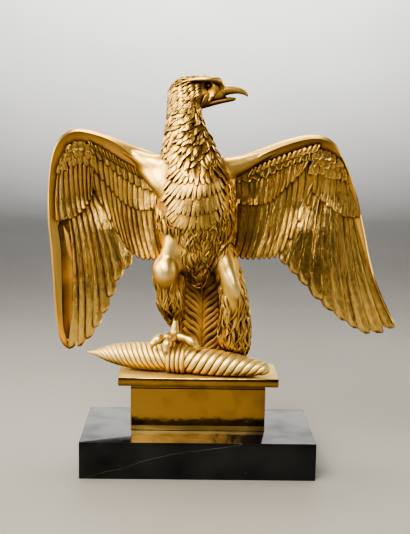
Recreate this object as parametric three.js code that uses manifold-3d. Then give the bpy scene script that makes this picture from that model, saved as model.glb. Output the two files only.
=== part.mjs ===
// A gilt bronze eagle with spread wings, one foot on a fluted thunderbolt, over a rectangular
// bronze plinth and a black marble base.
// Millimetres, +Z up, the front towards -Y, the origin at the centre of the marble's underside.

import * as THREE from "three";
import { mergeVertices } from "three/addons/utils/BufferGeometryUtils.js";
import Module from "manifold-3d";

const wasm = await Module();
wasm.setup();

// Driving dimensions
const marble = { width: 164, depth: 84, height: 26, edge: 0.8 };
const plinth = { width: 96, depth: 27, height: 41, overhang: 8.5, slab: 6.4, cove: 3, edge: 0.5 };
const plinthTop = marble.height + plinth.height;
const gap = 0.3;

// Colours
const gilt = new THREE.MeshStandardMaterial({ color: 0xd9a441, roughness: 0.28, metalness: 1 });
const stone = new THREE.MeshStandardMaterial({ color: 0x17181a, roughness: 0.3, metalness: 0 });

// Splines and blends

// A smooth curve through the rows of a table: t runs from 0 at the first row to 1 at the last.
function along(table, t) {
  const last = table.length - 1;
  const place = Math.min(Math.max(t, 0), 1) * last;
  const i = Math.min(Math.floor(place), last - 1);
  const f = place - i;
  const before = table[Math.max(i - 1, 0)];
  const after = table[Math.min(i + 2, last)];
  return table[i].map((b, k) => {
    const [a, c, d] = [before[k], table[i + 1][k], after[k]];
    const square = 2 * a - 5 * b + 4 * c - d;
    const cube = 3 * b - a - 3 * c + d;
    return 0.5 * (2 * b + (c - a) * f + square * f * f + cube * f * f * f);
  });
}

const mix = (a, b, t) => a + (b - a) * t;
const mixPoint = (a, b, t) => a.map((value, k) => mix(value, b[k], t));

// Solids

// The closed body skinned over rings of points, each end closed by a fan to its middle. A quilted
// skin turns the diagonal of every other face, so that every other point stands up as a diamond.
function skin(rings, quilted = false) {
  const n = rings[0].length;
  const middle = (ring) => ring[0].map((_, k) => ring.reduce((sum, p) => sum + p[k], 0) / n);
  const points = [...rings.flat(), middle(rings[0]), middle(rings[rings.length - 1])];
  const faces = [];
  for (let j = 0; j < n; j += 1) {
    const next = (j + 1) % n;
    for (let i = 0; i < rings.length - 1; i += 1) {
      const [a, b, c, d] = [i * n + j, i * n + next, (i + 1) * n + next, (i + 1) * n + j];
      if (quilted && (i + j) % 2) {
        faces.push(a, b, d, b, c, d);
      } else {
        faces.push(a, b, c, a, c, d);
      }
    }
    const lastRing = (rings.length - 1) * n;
    faces.push(points.length - 2, next, j, points.length - 1, lastRing + j, lastRing + next);
  }
  const geometry = new THREE.BufferGeometry();
  geometry.setAttribute("position", new THREE.Float32BufferAttribute(points.flat(), 3));
  geometry.setIndex(faces);
  return geometry;
}

// A body for joining and cutting, turned inside out first if its faces point in.
function solid(geometry) {
  const merged = mergeVertices(geometry, 1e-4);
  const vertices = Float32Array.from(merged.attributes.position.array);
  const triangles = Uint32Array.from(merged.index.array);
  const corner = (k) => new THREE.Vector3().fromArray(vertices, 3 * triangles[k]);
  let volume = 0;
  for (let k = 0; k < triangles.length; k += 3) {
    volume += corner(k).dot(corner(k + 1).cross(corner(k + 2)));
  }
  if (volume < 0) {
    for (let k = 0; k < triangles.length; k += 3) {
      [triangles[k], triangles[k + 1]] = [triangles[k + 1], triangles[k]];
    }
  }
  const mesh = new wasm.Mesh({ numProp: 3, vertProperties: vertices, triVerts: triangles });
  return new wasm.Manifold(mesh);
}

const join = (bodies) => bodies.reduce((all, body) => all.add(body));

function meshOf(name, body, material) {
  const { vertProperties, triVerts } = body.getMesh();
  const geometry = new THREE.BufferGeometry();
  geometry.setAttribute("position", new THREE.BufferAttribute(vertProperties, 3));
  geometry.setIndex(new THREE.BufferAttribute(triVerts, 1));
  geometry.computeVertexNormals();
  const mesh = new THREE.Mesh(geometry, material);
  mesh.name = name;
  return mesh;
}

// A limb with oval sections square to its path. A row is [x, y, z, half width, half depth]; the
// width lies along `across`, as far as the path lets it. With a relief, every other point is raised
// and droops, like rows of lapping feathers.
function limb(rows, { sides, steps = rows.length - 1, across = [1, 0, 0], relief = 0 }) {
  const rings = [];
  const droop = 3 * relief;
  for (let i = 0; i <= steps; i += 1) {
    const t = i / steps;
    const [x, y, z, half, deep] = along(rows, t);
    const ahead = new THREE.Vector3(...along(rows, t + 0.01));
    const path = ahead.sub(new THREE.Vector3(...along(rows, t - 0.01))).normalize();
    const wide = new THREE.Vector3(...across).projectOnPlane(path).normalize();
    const thick = new THREE.Vector3().crossVectors(path, wide);
    const ring = [];
    for (let j = 0; j < sides; j += 1) {
      const turn = (2 * Math.PI * j) / sides;
      const raised = (i + j) % 2 === 1;
      const out = raised ? relief : -relief;
      const point = new THREE.Vector3(x, y, raised ? z - droop : z);
      point.addScaledVector(wide, (half + out) * Math.cos(turn));
      point.addScaledVector(thick, (deep + out) * Math.sin(turn));
      ring.push(point.toArray());
    }
    rings.push(ring);
  }
  return solid(skin(rings, relief > 0));
}

// A block whose four sides follow one moulded profile. A profile row is [outward offset, height].
function mouldedBlock(width, depth, profile) {
  const rings = profile.map(([out, z]) => {
    const [x, y] = [width / 2 + out, depth / 2 + out];
    return [[-x, -y, z], [x, -y, z], [x, y, z], [-x, y, z]];
  });
  return solid(skin(rings));
}

// Base and plinth

function marbleBase() {
  const { width, depth, height, edge } = marble;
  return mouldedBlock(width, depth, [[-edge, 0], [0, edge], [0, height - edge], [-edge, height]]);
}

function plinthBlock() {
  const { width, depth, overhang, slab, cove, edge } = plinth;
  const slabFoot = plinthTop - slab;
  const profile = [[0, marble.height], [0, slabFoot - cove]];
  const coveSteps = 3;
  for (let i = 1; i <= coveSteps; i += 1) {
    const turn = (i / coveSteps) * (Math.PI / 2);
    profile.push([cove * (1 - Math.cos(turn)), slabFoot - cove * (1 - Math.sin(turn))]);
  }
  profile.push([overhang - edge, slabFoot], [overhang, slabFoot + edge]);
  profile.push([overhang, plinthTop - edge], [overhang - edge, plinthTop]);
  return mouldedBlock(width, depth, profile);
}

// Thunderbolt: two spindles fluted in opposite turns, bound in the middle by rings. It lies aslant
// on the plinth, its left end back and overhanging, its right end at the plinth's front edge.
const boltLeft = [-80.5, 8.3, plinthTop + 10.6];
const boltMiddle = [-15, -7, plinthTop + 10.2];
const boltRight = [50, -20.5, plinthTop + 6.6];
const boltRadius = { left: [0.5, 6.2, 9.3, 9.8, 8.4], right: [8.6, 9.8, 9.3, 7.1, 4.0] };
const boltLead = 27;
const fluteDepth = 0.18;

// One spindle from `start` to `end`, with `starts` flutes that turn once in every lead.
function spindle(start, end, radii, starts, hand) {
  const axis = new THREE.Vector3(...end).sub(new THREE.Vector3(...start));
  const turns = axis.length() / boltLead;
  const steps = Math.round(turns * 7);
  const across = new THREE.Vector3(axis.y, -axis.x, 0).normalize();
  const up = new THREE.Vector3().crossVectors(axis, across).normalize();
  const count = 2 * starts;
  const rings = [];
  for (let i = 0; i <= steps; i += 1) {
    const t = i / steps;
    const [radius] = along(radii.map((r) => [r]), t);
    const ring = [];
    for (let j = 0; j < count; j += 1) {
      const turn = 2 * Math.PI * (j / count + hand * turns * t);
      const ridge = j % 2 ? 1 : 1 - fluteDepth;
      const point = new THREE.Vector3(...start).addScaledVector(axis, t);
      point.addScaledVector(across, radius * ridge * Math.cos(turn));
      point.addScaledVector(up, radius * ridge * Math.sin(turn));
      ring.push(point.toArray());
    }
    rings.push(ring);
  }
  return solid(skin(rings));
}

// A point on the thunderbolt's own line, `place` along it from the middle.
function onBolt(place) {
  const axis = new THREE.Vector3(...boltRight).sub(new THREE.Vector3(...boltLeft)).normalize();
  return new THREE.Vector3(...boltMiddle).addScaledVector(axis, place).toArray();
}

// The rings round the thunderbolt's waist.
const waist = { rings: 4, ringWide: 2.7, hollow: 9.4, crest: 10.5 };

function binding() {
  const { rings, ringWide, hollow, crest } = waist;
  const rows = [];
  for (let i = 0; i <= rings; i += 1) {
    const place = (i - rings / 2) * ringWide;
    rows.push([...onBolt(place), hollow, hollow]);
    if (i < rings) {
      rows.push([...onBolt(place + 0.3 * ringWide), crest, crest]);
      rows.push([...onBolt(place + 0.7 * ringWide), crest, crest]);
    }
  }
  return limb(rows, { sides: 12, across: [0, 0, 1] });
}

function thunderbolt() {
  const left = spindle(boltLeft, boltMiddle, boltRadius.left, 7, 1);
  const right = spindle(boltMiddle, boltRight, boltRadius.right, 5, -1);
  return join([left, right, binding()]);
}

// The space the thunderbolt takes, wider by the gap, so that the bird's foot stands on it.
function boltClearance() {
  const sides = 12;
  const steps = 8;
  const row = (point, radius) => {
    const reach = (radius + gap) / Math.cos(Math.PI / sides);
    return [...point, reach, reach];
  };
  const sleeve = (start, end, radii) => {
    const rows = radii.map((radius, i) => row(mixPoint(start, end, i / (radii.length - 1)), radius));
    return limb(rows, { sides, steps });
  };
  const half = 0.5 * waist.rings * waist.ringWide + gap;
  const collar = limb([row(onBolt(-half), waist.crest), row(onBolt(half), waist.crest)], { sides });
  const left = sleeve(boltLeft, boltMiddle, boltRadius.left);
  return join([left, sleeve(boltMiddle, boltRight, boltRadius.right), collar]);
}

// The space the plinth takes, lifted by the gap, so that nothing of the bolt or bird reaches into it.
function plinthClearance() {
  const reach = 80;
  return mouldedBlock(reach, reach, [[0, marble.height + 1], [0, plinthTop + gap]]);
}

// Eagle

// Trunk and neck, from the tuft under the belly to the crown: [x, y, z, half width, half depth].
const trunkRows = [
  [0, -9, 129, 2, 2], [-0.6, -8, 137, 9, 7.5], [-2.6, -6.5, 147, 18.5, 14.5],
  [-3.4, -5.4, 159, 25, 18.6], [-3.6, -5.4, 172, 27.2, 21], [-4.2, -5.6, 186, 27.5, 22],
  [-5.2, -5, 200, 26.3, 21.6], [-6.7, -3.6, 212.5, 23.2, 19.6], [-8.6, -2.4, 224, 19.4, 16.8],
  [-10.5, -1.6, 235, 15.5, 14.2], [-11.7, -1, 246, 12.9, 12.3], [-11.8, -1, 256, 12.1, 11.4],
  [-10.5, -1, 265, 11.8, 10.8], [-8, -1, 272.5, 7.5, 6.5],
];
const rumpRows = [
  [-3, -2, 178, 16, 15], [-3, 1, 162, 18, 14.5], [-2, 7, 148, 15, 9], [-1, 11, 135, 12, 4.5],
];

// Skull, from the nape to the brow; its path runs level, so the half width here is its half height.
const skullRows = [
  [-22, -1, 259, 3, 5], [-17.5, -1, 262, 8.4, 8.4], [-10, -1, 264.4, 10.8, 10.6],
  [-1, -1.5, 265.2, 10.4, 10.8], [6.6, -1.5, 265.8, 9.6, 9.4], [10.5, -1.5, 266.2, 8.6, 7.8],
  [12.4, -1.5, 266, 6.4, 5.6],
];
const upperBeakRows = [
  [8, -1.5, 264.6, 6, 6], [14, -1.5, 266, 4, 4.6], [20, -1.5, 267.6, 2.9, 3.7],
  [25.5, -1.5, 267.6, 2.4, 2.8], [29.6, -1.5, 265.6, 1.8, 1.9], [31.4, -1.5, 262.6, 0.5, 0.6],
];
const lowerBeakRows = [
  [1, -1.5, 256.6, 2.4, 5.6], [8, -1.5, 257.9, 1.2, 4.4], [16, -1.5, 259.7, 1.1, 3.2],
  [22.6, -1.5, 260, 0.5, 1.2],
];

// Legs in their feathers. Left and right are the viewer's.
const leftLegRows = [
  [-16, -3, 162, 9, 9], [-22, -10, 152, 8.6, 10], [-24.4, -14, 141, 8.6, 9.6],
  [-23.6, -13.5, 131, 9.2, 9.4], [-21, -11, 119, 10.3, 9.6], [-18.5, -9, 109, 8.6, 8],
  [-17.4, -8, 101, 4.4, 4.4],
];
const rightLegRows = [
  [11, -3, 160, 10, 10], [17.5, -8, 148, 9, 10.5], [21, -11, 136, 9, 10], [24, -10, 122, 9.6, 9.8],
  [25.2, -7, 109, 11, 10.5], [25.4, -4, 96, 12, 11], [26.4, -2, 84, 10.6, 9.6], [27.4, 0, 76, 6.4, 6],
];

// Bare shanks and toes: [x, y, z, half width, half depth], down to the claw.
const leftFoot = {
  shank: [[-17.6, -7, 106, 2.6, 2.6], [-17.2, -8, 98, 2.7, 2.7], [-17.2, -9, 92.5, 3.2, 3.4]],
  outerToe: [
    [-17, -8.5, 94, 2.6, 2.4], [-23, -10, 94.4, 2.2, 2.1], [-29, -12, 94, 2.3, 2.3],
    [-32.6, -13.6, 91, 1.6, 1.6], [-33.4, -14.2, 87, 0.5, 0.5],
  ],
  middleToe: [
    [-17, -8.5, 94, 2.6, 2.4], [-19.6, -13.5, 93.8, 2.3, 2.1], [-21.6, -17.2, 90.8, 2.3, 2.2],
    [-22.4, -19, 86.4, 1.4, 1.4], [-22, -18.6, 82.5, 0.5, 0.5],
  ],
  innerToe: [
    [-17, -8.5, 94, 2.6, 2.4], [-10.4, -10.6, 94.8, 2.3, 2.1], [-4.6, -12.6, 93.4, 2.4, 2.3],
    [-1.6, -14, 89.6, 1.6, 1.6], [-2, -14.6, 85.8, 0.5, 0.5],
  ],
  hindToe: [
    [-17.2, -6, 93, 2.4, 2.2], [-16.4, -1, 91.6, 2.1, 2], [-15.4, 3.4, 87.4, 1.9, 1.8],
    [-15, 4.6, 83, 0.5, 0.5],
  ],
};
const rightFoot = {
  shank: [[27.6, 0, 84, 3, 3], [28, 1, 75, 3, 3], [28, 1, 69.6, 3.4, 3.6]],
  outerToe: [
    [28, 1, 70.6, 2.8, 2.4], [35, -2, 70, 2.3, 2.1], [41, -5, 69.2, 2, 1.8], [45, -7, 67.8, 0.5, 0.5],
  ],
  innerToe: [
    [28, 1, 70.6, 2.8, 2.4], [22.5, 0.4, 70, 2.3, 2.1], [17, 0.6, 69.2, 2, 1.8],
    [13, 1.4, 67.8, 0.5, 0.5],
  ],
  hindToe: [
    [28, 2, 70.6, 2.8, 2.4], [29.4, 8, 70, 2.2, 2], [30.6, 13, 69.2, 1.9, 1.8],
    [31, 16.4, 67.8, 0.5, 0.5],
  ],
};

// Wings and tail. Every outline is in a plan, [x, z]; a row of feathers runs from its roots to its
// tips, the first feather next to the body or the arm. Left and right are the viewer's.
const tail = {
  roots: [[-19, 140], [-2, 150], [12, 141]],
  tips: [[-19, 80], [-9, 68.6], [2, 67.4], [14, 68.6], [26, 80]],
  count: 8, bow: 0,
};

const wings = [
  {
    arm: [
      [2, 207, 12], [24, 211.5, 9.6], [43, 220, 7.2], [62, 228.2, 6], [79, 231.6, 5.6],
      [90, 228.4, 5.2], [98, 217, 4.4], [105.2, 202, 3.6], [111.4, 185, 2.8], [116.6, 167, 2.3],
      [121, 149, 2], [126.6, 131, 1.9], [134, 115, 1.8], [141.8, 101.4, 1.6],
    ],
    web: [[12, 172], [46, 172], [76, 180], [92, 174], [112, 170]],
    primaries: {
      roots: [[80, 206], [94, 204], [108, 192]],
      tips: [[54, 146], [68, 132.6], [89, 112.4], [110, 98], [127, 91.4], [143.6, 98]],
      count: 12, bow: -0.035,
    },
    secondaries: {
      roots: [[12, 202], [44, 208], [66, 214], [82, 214]],
      tips: [[14, 154], [28, 148.6], [41, 146], [55, 150.6]],
      count: 8, bow: 0.07,
    },
    primaryCoverts: {
      roots: [[82, 219], [94, 214], [106, 205], [110, 198]],
      tips: [[78, 192], [89, 182.6], [103, 175], [116.5, 178]],
      count: 8, bow: 0.03,
    },
    coverts: {
      roots: [[14, 203], [42, 211], [63, 220], [84, 226]],
      tips: [[15, 184], [37, 183.6], [55, 189.6], [80, 206.6]],
      count: 10, bow: 0.04,
    },
    smallCoverts: {
      roots: [[14, 205], [40, 215], [63, 225], [84, 229]],
      tips: [[14, 197], [39, 205], [61, 214.6], [83, 220]],
      count: 9, bow: 0.02,
    },
    handScales: {
      roots: [[84, 228], [94, 221], [104, 206]],
      tips: [[82, 216], [93, 207], [107, 196]],
      count: 6, bow: 0.02,
    },
    backCoverts: {
      roots: [[12, 212], [48, 221], [88, 228], [110, 196]],
      tips: [[14, 180], [46, 182], [80, 188], [116, 166]],
      count: 7, bow: 0,
    },
  },
  {
    arm: [
      [-10, 207, 12], [-31, 211.5, 10.5], [-47, 219.4, 7.6], [-64, 227.6, 6], [-80, 232.6, 5.6],
      [-90, 232.6, 5.6], [-98.4, 225, 5], [-103, 211, 4.2], [-105.8, 193, 3.2], [-106.2, 174, 2.9],
      [-104.6, 154, 2.7], [-103, 131, 2.6], [-101.6, 108, 2.5], [-100.4, 87, 2],
    ],
    web: [[-20, 172], [-48, 170], [-74, 177], [-88, 168], [-103, 164]],
    primaries: {
      roots: [[-78, 200], [-92, 200], [-104, 184]],
      tips: [[-46.6, 143], [-58, 129.6], [-67.6, 109], [-78.6, 91.6], [-90, 80], [-101.4, 81.6]],
      count: 11, bow: 0.03,
    },
    secondaries: {
      roots: [[-20, 202], [-46, 208], [-64, 212], [-80, 212]],
      tips: [[-18, 152], [-29, 146.8], [-38, 146], [-48, 150]],
      count: 8, bow: -0.07,
    },
    primaryCoverts: {
      roots: [[-84, 217], [-93, 216], [-101, 210], [-104, 200]],
      tips: [[-79, 195], [-84, 181], [-97, 171], [-108.6, 178]],
      count: 7, bow: -0.03,
    },
    coverts: {
      roots: [[-22, 200], [-48, 211], [-66, 221], [-84, 226]],
      tips: [[-22, 184], [-42, 180], [-57, 188.6], [-77.6, 212.6]],
      count: 9, bow: -0.04,
    },
    smallCoverts: {
      roots: [[-24, 203], [-50, 216], [-68, 226.4], [-86, 229.6]],
      tips: [[-24, 195], [-48, 207], [-65, 219.4], [-83.6, 223.6]],
      count: 9, bow: -0.02,
    },
    handScales: {
      roots: [[-84, 230], [-93, 226], [-101, 213]],
      tips: [[-83, 215], [-92, 209], [-104, 198]],
      count: 5, bow: -0.02,
    },
    backCoverts: {
      roots: [[-20, 212], [-52, 220], [-90, 230], [-105, 196]],
      tips: [[-20, 180], [-50, 181], [-84, 184], [-107, 166]],
      count: 7, bow: 0,
    },
  },
];

// Sections across one feather: [place, height of the pleat, share of its length it reaches]. A long
// feather is crowned and its tip is a lobe; a short one only laps over the next.
const crowned = [[0.04, 0, 0.95], [0.5, 1, 1], [0.96, 0.7, 0.965]];
const lapped = [[0.08, 0, 0.9], [0.8, 1, 1]];

// How each row stands off its plan: its lift from root to tip and its pleats' height in front, and
// the same behind. `bends` is how many times a feather bends in front between root and tip.
const rowForms = {
  primaries: { section: crowned, lift: [0.4, 0.2], pleat: 1.2, back: [0.8, 0.5], backPleat: 0.9, bends: 2 },
  secondaries: { section: crowned, lift: [1.2, 1.2], pleat: 1.2, back: [0.8, 0], backPleat: 0.8, bends: 2 },
  primaryCoverts: { section: lapped, lift: [2, 1.8], pleat: 1.2, back: [0, 0], backPleat: 0, bends: 1 },
  coverts: { section: lapped, lift: [2.8, 2.8], pleat: 1.1, back: [0, 0], backPleat: 0, bends: 1 },
  smallCoverts: { section: lapped, lift: [3.8, 4.2], pleat: 1, back: [0, -1], backPleat: 0, bends: 1 },
  handScales: { section: lapped, lift: [3.2, 3.4], pleat: 1, back: [0, -1], backPleat: 0, bends: 1 },
  backCoverts: { section: lapped, lift: [0, 0], pleat: 0, back: [2.6, 2.2], backPleat: 1.1, bends: 1 },
};
const tailForm = { section: crowned, lift: [0.6, 0.6], pleat: 1.3, back: [1.2, 1], backPleat: 1, bends: 2 };

// The wing's plan swings back from the shoulder to the tip and is hollow in front.
function wingDepth(x, z) {
  const outward = Math.max(Math.abs(x + 4) - 18, 0) / 120;
  const hollow = Math.exp(-(((z - 178) / 38) ** 2));
  return 3 + 9 * outward ** 1.4 + 2.5 * hollow;
}

// The tail's plan leans back towards the tips and bends back at its sides.
const tailDepth = (x, z) => 12 + 0.06 * (141 - z) + 0.007 * (x - 2) ** 2;

// A row of feathers as one pleated body: each feather laps over the next and ends in a scallop.
function featherRow(row, form, depth) {
  const rings = [];
  for (let i = 0; i < row.count; i += 1) {
    for (const [across, height, reach] of form.section) {
      const t = (i + across) / row.count;
      const [root, tip] = [along(row.roots, t), along(row.tips, t)];
      const side = [root[1] - tip[1], tip[0] - root[0]];
      const place = (v, out) => {
        const bulge = 4 * v * (1 - v) * row.bow;
        const [x, z] = mixPoint(root, tip, v).map((value, k) => value + bulge * side[k]);
        return [x, depth(x, z) + out, z];
      };
      const ring = [];
      for (let k = 0; k <= form.bends; k += 1) {
        const v = (reach * k) / form.bends;
        ring.push(place(v, -mix(...form.lift, v) - form.pleat * height));
      }
      ring.push(place(reach, form.back[1] + form.backPleat * height));
      ring.push(place(0, form.back[0] + form.backPleat * height));
      rings.push(ring);
    }
  }
  return solid(skin(rings));
}

// The rounded leading edge, from the shoulder over the wrist and down the hand.
function wingArm(arm) {
  const rows = arm.map(([x, z, r]) => [x, wingDepth(x, z) - 0.25 * r, z, r, 0.9 * r]);
  return limb(rows, { sides: 7, steps: 12, across: [0, 1, 0] });
}

// The thin ground behind the feathers, between the arm and the middle of the wing.
function wingWeb(arm, web) {
  const steps = 6;
  const thick = 1.6;
  const armShare = 0.7;
  const rings = [];
  for (let i = 0; i <= steps; i += 1) {
    const t = i / steps;
    const [top, low] = [along(arm, t * armShare), along(web, t)];
    const corner = ([x, z], out) => [x, wingDepth(x, z) + out, z];
    rings.push([corner(top, -thick), corner(top, thick), corner(low, thick), corner(low, -thick)]);
  }
  return solid(skin(rings));
}

function wing(form) {
  const rows = Object.keys(rowForms).map((name) => featherRow(form[name], rowForms[name], wingDepth));
  return join([wingArm(form.arm), wingWeb(form.arm, form.web), ...rows]);
}

// Locks of feathers that hang round a leg, their roots at the share `from` of its length, and their
// tips `length` below the share `to`. Every other lock hangs a little lower.
function legLocks(rows, from, to, count, length) {
  const locks = [];
  for (let i = 0; i < count; i += 1) {
    const turn = (2 * Math.PI * (i + 0.5)) / count;
    const fall = i % 2 ? 0 : 0.09;
    const at = (t, out) => {
      const [x, y, z, half, deep] = along(rows, t);
      return [x + half * out * Math.cos(turn), y + deep * out * Math.sin(turn), z];
    };
    const [root, knee] = [at(from + fall, 0.8), at(to + 0.5 * fall, 0.95)];
    const tip = [knee[0], knee[1], knee[2] - length];
    locks.push(limb([[...root, 1.6, 1.4], [...knee, 2.2, 1.6], [...tip, 0.4, 0.4]], { sides: 4 }));
  }
  return locks;
}

function eagle() {
  const upright = [0, 0, 1];
  const parts = [
    limb(trunkRows, { sides: 22, steps: 19, relief: 0.5 }),
    limb(rumpRows, { sides: 12 }),
    limb(skullRows, { sides: 10, steps: 7, across: upright }),
    limb(upperBeakRows, { sides: 6, steps: 7, across: upright }),
    limb(lowerBeakRows, { sides: 6, steps: 4, across: upright }),
    limb(leftLegRows, { sides: 12, steps: 9, relief: 0.3 }),
    limb(rightLegRows, { sides: 12, steps: 11, relief: 0.3 }),
    ...[leftFoot, rightFoot].flatMap(Object.values).map((rows) => limb(rows, { sides: 5 })),
    ...legLocks(leftLegRows, 0.6, 0.82, 8, 9),
    ...legLocks(rightLegRows, 0.5, 0.78, 9, 9),
    featherRow(tail, tailForm, tailDepth),
    ...wings.map(wing),
  ];
  return join(parts);
}

const bolt = thunderbolt().subtract(plinthClearance());
const bird = eagle().subtract(plinthClearance()).subtract(boltClearance());

const work = new THREE.Group();
work.add(meshOf("marble_base", marbleBase(), stone));
work.add(meshOf("plinth", plinthBlock(), gilt));
work.add(meshOf("thunderbolt", bolt, gilt));
work.add(meshOf("eagle", bird, gilt));

export default work;
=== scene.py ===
# The looks of a gilt bronze eagle on its thunderbolt, bronze plinth and black marble base.
# Tables and shapes are in millimetres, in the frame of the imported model, and become metres as
# each mesh is made. Left and right are the viewer's.

import math
import random

import bpy
import numpy as np
from mathutils import Matrix, Vector
from mathutils.bvhtree import BVHTree


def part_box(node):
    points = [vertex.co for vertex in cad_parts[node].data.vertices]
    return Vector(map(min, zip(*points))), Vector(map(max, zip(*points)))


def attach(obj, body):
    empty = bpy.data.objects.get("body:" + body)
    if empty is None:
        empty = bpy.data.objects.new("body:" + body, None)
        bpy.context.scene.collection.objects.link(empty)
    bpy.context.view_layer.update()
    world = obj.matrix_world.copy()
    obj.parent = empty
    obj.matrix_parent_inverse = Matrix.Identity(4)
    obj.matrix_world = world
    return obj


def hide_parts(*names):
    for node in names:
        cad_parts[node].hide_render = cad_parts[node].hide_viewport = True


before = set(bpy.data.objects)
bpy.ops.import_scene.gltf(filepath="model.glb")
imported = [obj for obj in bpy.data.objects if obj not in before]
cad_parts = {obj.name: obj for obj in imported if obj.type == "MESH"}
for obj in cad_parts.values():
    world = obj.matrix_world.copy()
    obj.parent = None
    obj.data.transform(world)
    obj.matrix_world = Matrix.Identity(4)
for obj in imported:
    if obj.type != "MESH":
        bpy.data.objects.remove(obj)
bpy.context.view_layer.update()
MM = 0.001
chance = random.Random(1804)


# Curves and blends

def along(table, t):
    """A smooth curve through the rows of a table, from t = 0 at the first row to 1 at the last."""
    last = len(table) - 1
    place = min(max(t, 0.0), 1.0) * last
    i = min(int(place), last - 1)
    f = place - i
    rows = [table[max(i - 1, 0)], table[i], table[i + 1], table[min(i + 2, last)]]
    a, b, c, d = (np.asarray(row, float) for row in rows)
    square = 2 * a - 5 * b + 4 * c - d
    cube = 3 * b - a - 3 * c + d
    return 0.5 * (2 * b + (c - a) * f + square * f**2 + cube * f**3)


def mix(a, b, t):
    return a + (b - a) * t


def unit(vector):
    return vector / max(np.linalg.norm(vector), 1e-9)


def square_to(vector, axis):
    """The unit part of a vector that is square to a unit axis."""
    return unit(vector - axis * np.dot(vector, axis))


# Meshes

class Casting:
    """The closed skins that make up one cast piece, with each point's place on its feather."""

    def __init__(self):
        self.points = []
        self.places = []
        self.faces = []
        self.count = 0

    def add(self, points, faces, places):
        self.points.append(points)
        self.places.append(places)
        self.faces += [tuple(self.count + k for k in face) for face in faces]
        self.count += len(points)

    def skin(self, rings, across=None, down=None, mark=0.0):
        """A closed skin over rings of points, its faces turned outwards. The mark is 1 on polished
        wing feathers, 0.5 on laid ones, 2 on ones painted with shade, darker and duller, 0 on plain
        forms and -1 where a paler colour is painted, a painted highlight on the knees and thighs; the
        feet, at -0.6 and -0.7, are matt and paler."""
        rings = np.asarray(rings, float)
        m, n = rings.shape[:2]
        flat = rings.reshape(-1, 3)
        faces = []
        for i in range(m - 1):
            for j in range(n):
                k = (j + 1) % n
                faces.append((i * n + j, i * n + k, i * n + n + k, i * n + n + j))
        corner = flat[np.array(faces)] - flat.mean(0)
        a, b, c, d = (corner[:, k] for k in range(4))
        volume = np.sum(a * np.cross(b, c)) + np.sum(a * np.cross(c, d))
        faces += [tuple(range(n - 1, -1, -1)), tuple(range((m - 1) * n, m * n))]
        if volume < 0:
            faces = [face[::-1] for face in faces]
        places = np.zeros((m, n, 3))
        places[:, :, 2] = mark
        if across is not None:
            places[:, :, 0] = np.asarray(across)[None, :]
            places[:, :, 1] = np.asarray(down)[:, None]
        self.add(flat, faces, places.reshape(-1, 3))

    def piece(self, name, finish, sharp=48):
        """The mesh object, in metres, riding on the part and standing for its node."""
        mesh = bpy.data.meshes.new(name)
        mesh.from_pydata((np.concatenate(self.points) * MM).tolist(), [], self.faces)
        mesh.polygons.foreach_set("use_smooth", [True] * len(mesh.polygons))
        mark = mesh.attributes.new("feather", "FLOAT_VECTOR", "POINT")
        mark.data.foreach_set("vector", np.concatenate(self.places).ravel())
        mesh.set_sharp_from_angle(angle=math.radians(sharp))
        mesh.materials.append(finish)
        mesh.update()
        obj = bpy.data.objects.new(name + "_cast", mesh)
        bpy.context.scene.collection.objects.link(obj)
        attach(obj, "root")
        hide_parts(name)
        return obj


def limb(rows, sides=16, steps=24, across=(1, 0, 0), swell=None, flat=2.0):
    """Rings of a limb with oval sections square to its path. A row is x, y, z, half width, half
    depth; swell scales the section at each share of the length, and flat over 2 squares it."""
    turns = 2 * np.pi * np.arange(sides) / sides
    wide_part = np.sign(np.cos(turns)) * np.abs(np.cos(turns)) ** (2 / flat)
    thick_part = np.sign(np.sin(turns)) * np.abs(np.sin(turns)) ** (2 / flat)
    rings = []
    for i in range(steps + 1):
        t = i / steps
        row = along(rows, t)
        path = unit(along(rows, t + 0.01)[:3] - along(rows, t - 0.01)[:3])
        wide = square_to(np.asarray(across, float), path)
        thick = np.cross(path, wide)
        scale = swell(t) if swell else 1.0
        out = np.outer(wide_part * row[3] * scale, wide)
        out += np.outer(thick_part * row[4] * scale, thick)
        rings.append(row[:3] + out)
    return np.array(rings)


def block(width, depth, profile, radius, bulge=0.0, side_steps=6, corner_steps=4):
    """Rings of a block with rounded upright corners. A profile row is outward offset and height;
    bulge crowns each side a little, as a filed and polished face is."""
    rings = []
    for out, z in profile:
        half = np.array([width / 2 + out, depth / 2 + out])
        core = half - radius
        ring = []
        for corner, (sx, sy) in enumerate([(1, -1), (1, 1), (-1, 1), (-1, -1)]):
            middle = core * (sx, sy)
            for k in range(corner_steps + 1):
                turn = math.radians(-90 + 90 * corner + 90 * k / corner_steps)
                ring.append([middle[0] + radius * math.cos(turn), middle[1] + radius * math.sin(turn), z])
            nx, ny = [(1, 1), (-1, 1), (-1, -1), (1, -1)][corner]
            turn = math.radians(90 * corner)
            start = middle + radius * np.array([math.cos(turn), math.sin(turn)])
            end = core * (nx, ny) + radius * np.array([math.cos(turn), math.sin(turn)])
            for k in range(1, side_steps):
                f = k / side_steps
                push = 4 * f * (1 - f) * bulge
                x, y = mix(start, end, f) + push * np.array([math.cos(turn), math.sin(turn)])
                ring.append([x, y, z])
        rings.append(ring)
    return np.array(rings)


# Base and plinth

def size_of(node):
    low, high = (np.array(corner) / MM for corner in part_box(node))
    return low, high, high - low


def marble_base(finish):
    low, high, size = size_of("marble_base")
    edge = 0.9
    arc = [math.radians(a) for a in (0, 30, 60, 90)]
    foot = [(-edge * math.sin(a), low[2] + edge * (1 - math.cos(a))) for a in arc[::-1]]
    top = [(-edge * (1 - math.cos(a)), high[2] - edge * (1 - math.sin(a))) for a in arc]
    base = Casting()
    base.skin(block(size[0], size[1], foot + top, 1.2))
    return base.piece("marble_base", finish, sharp=30)


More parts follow.
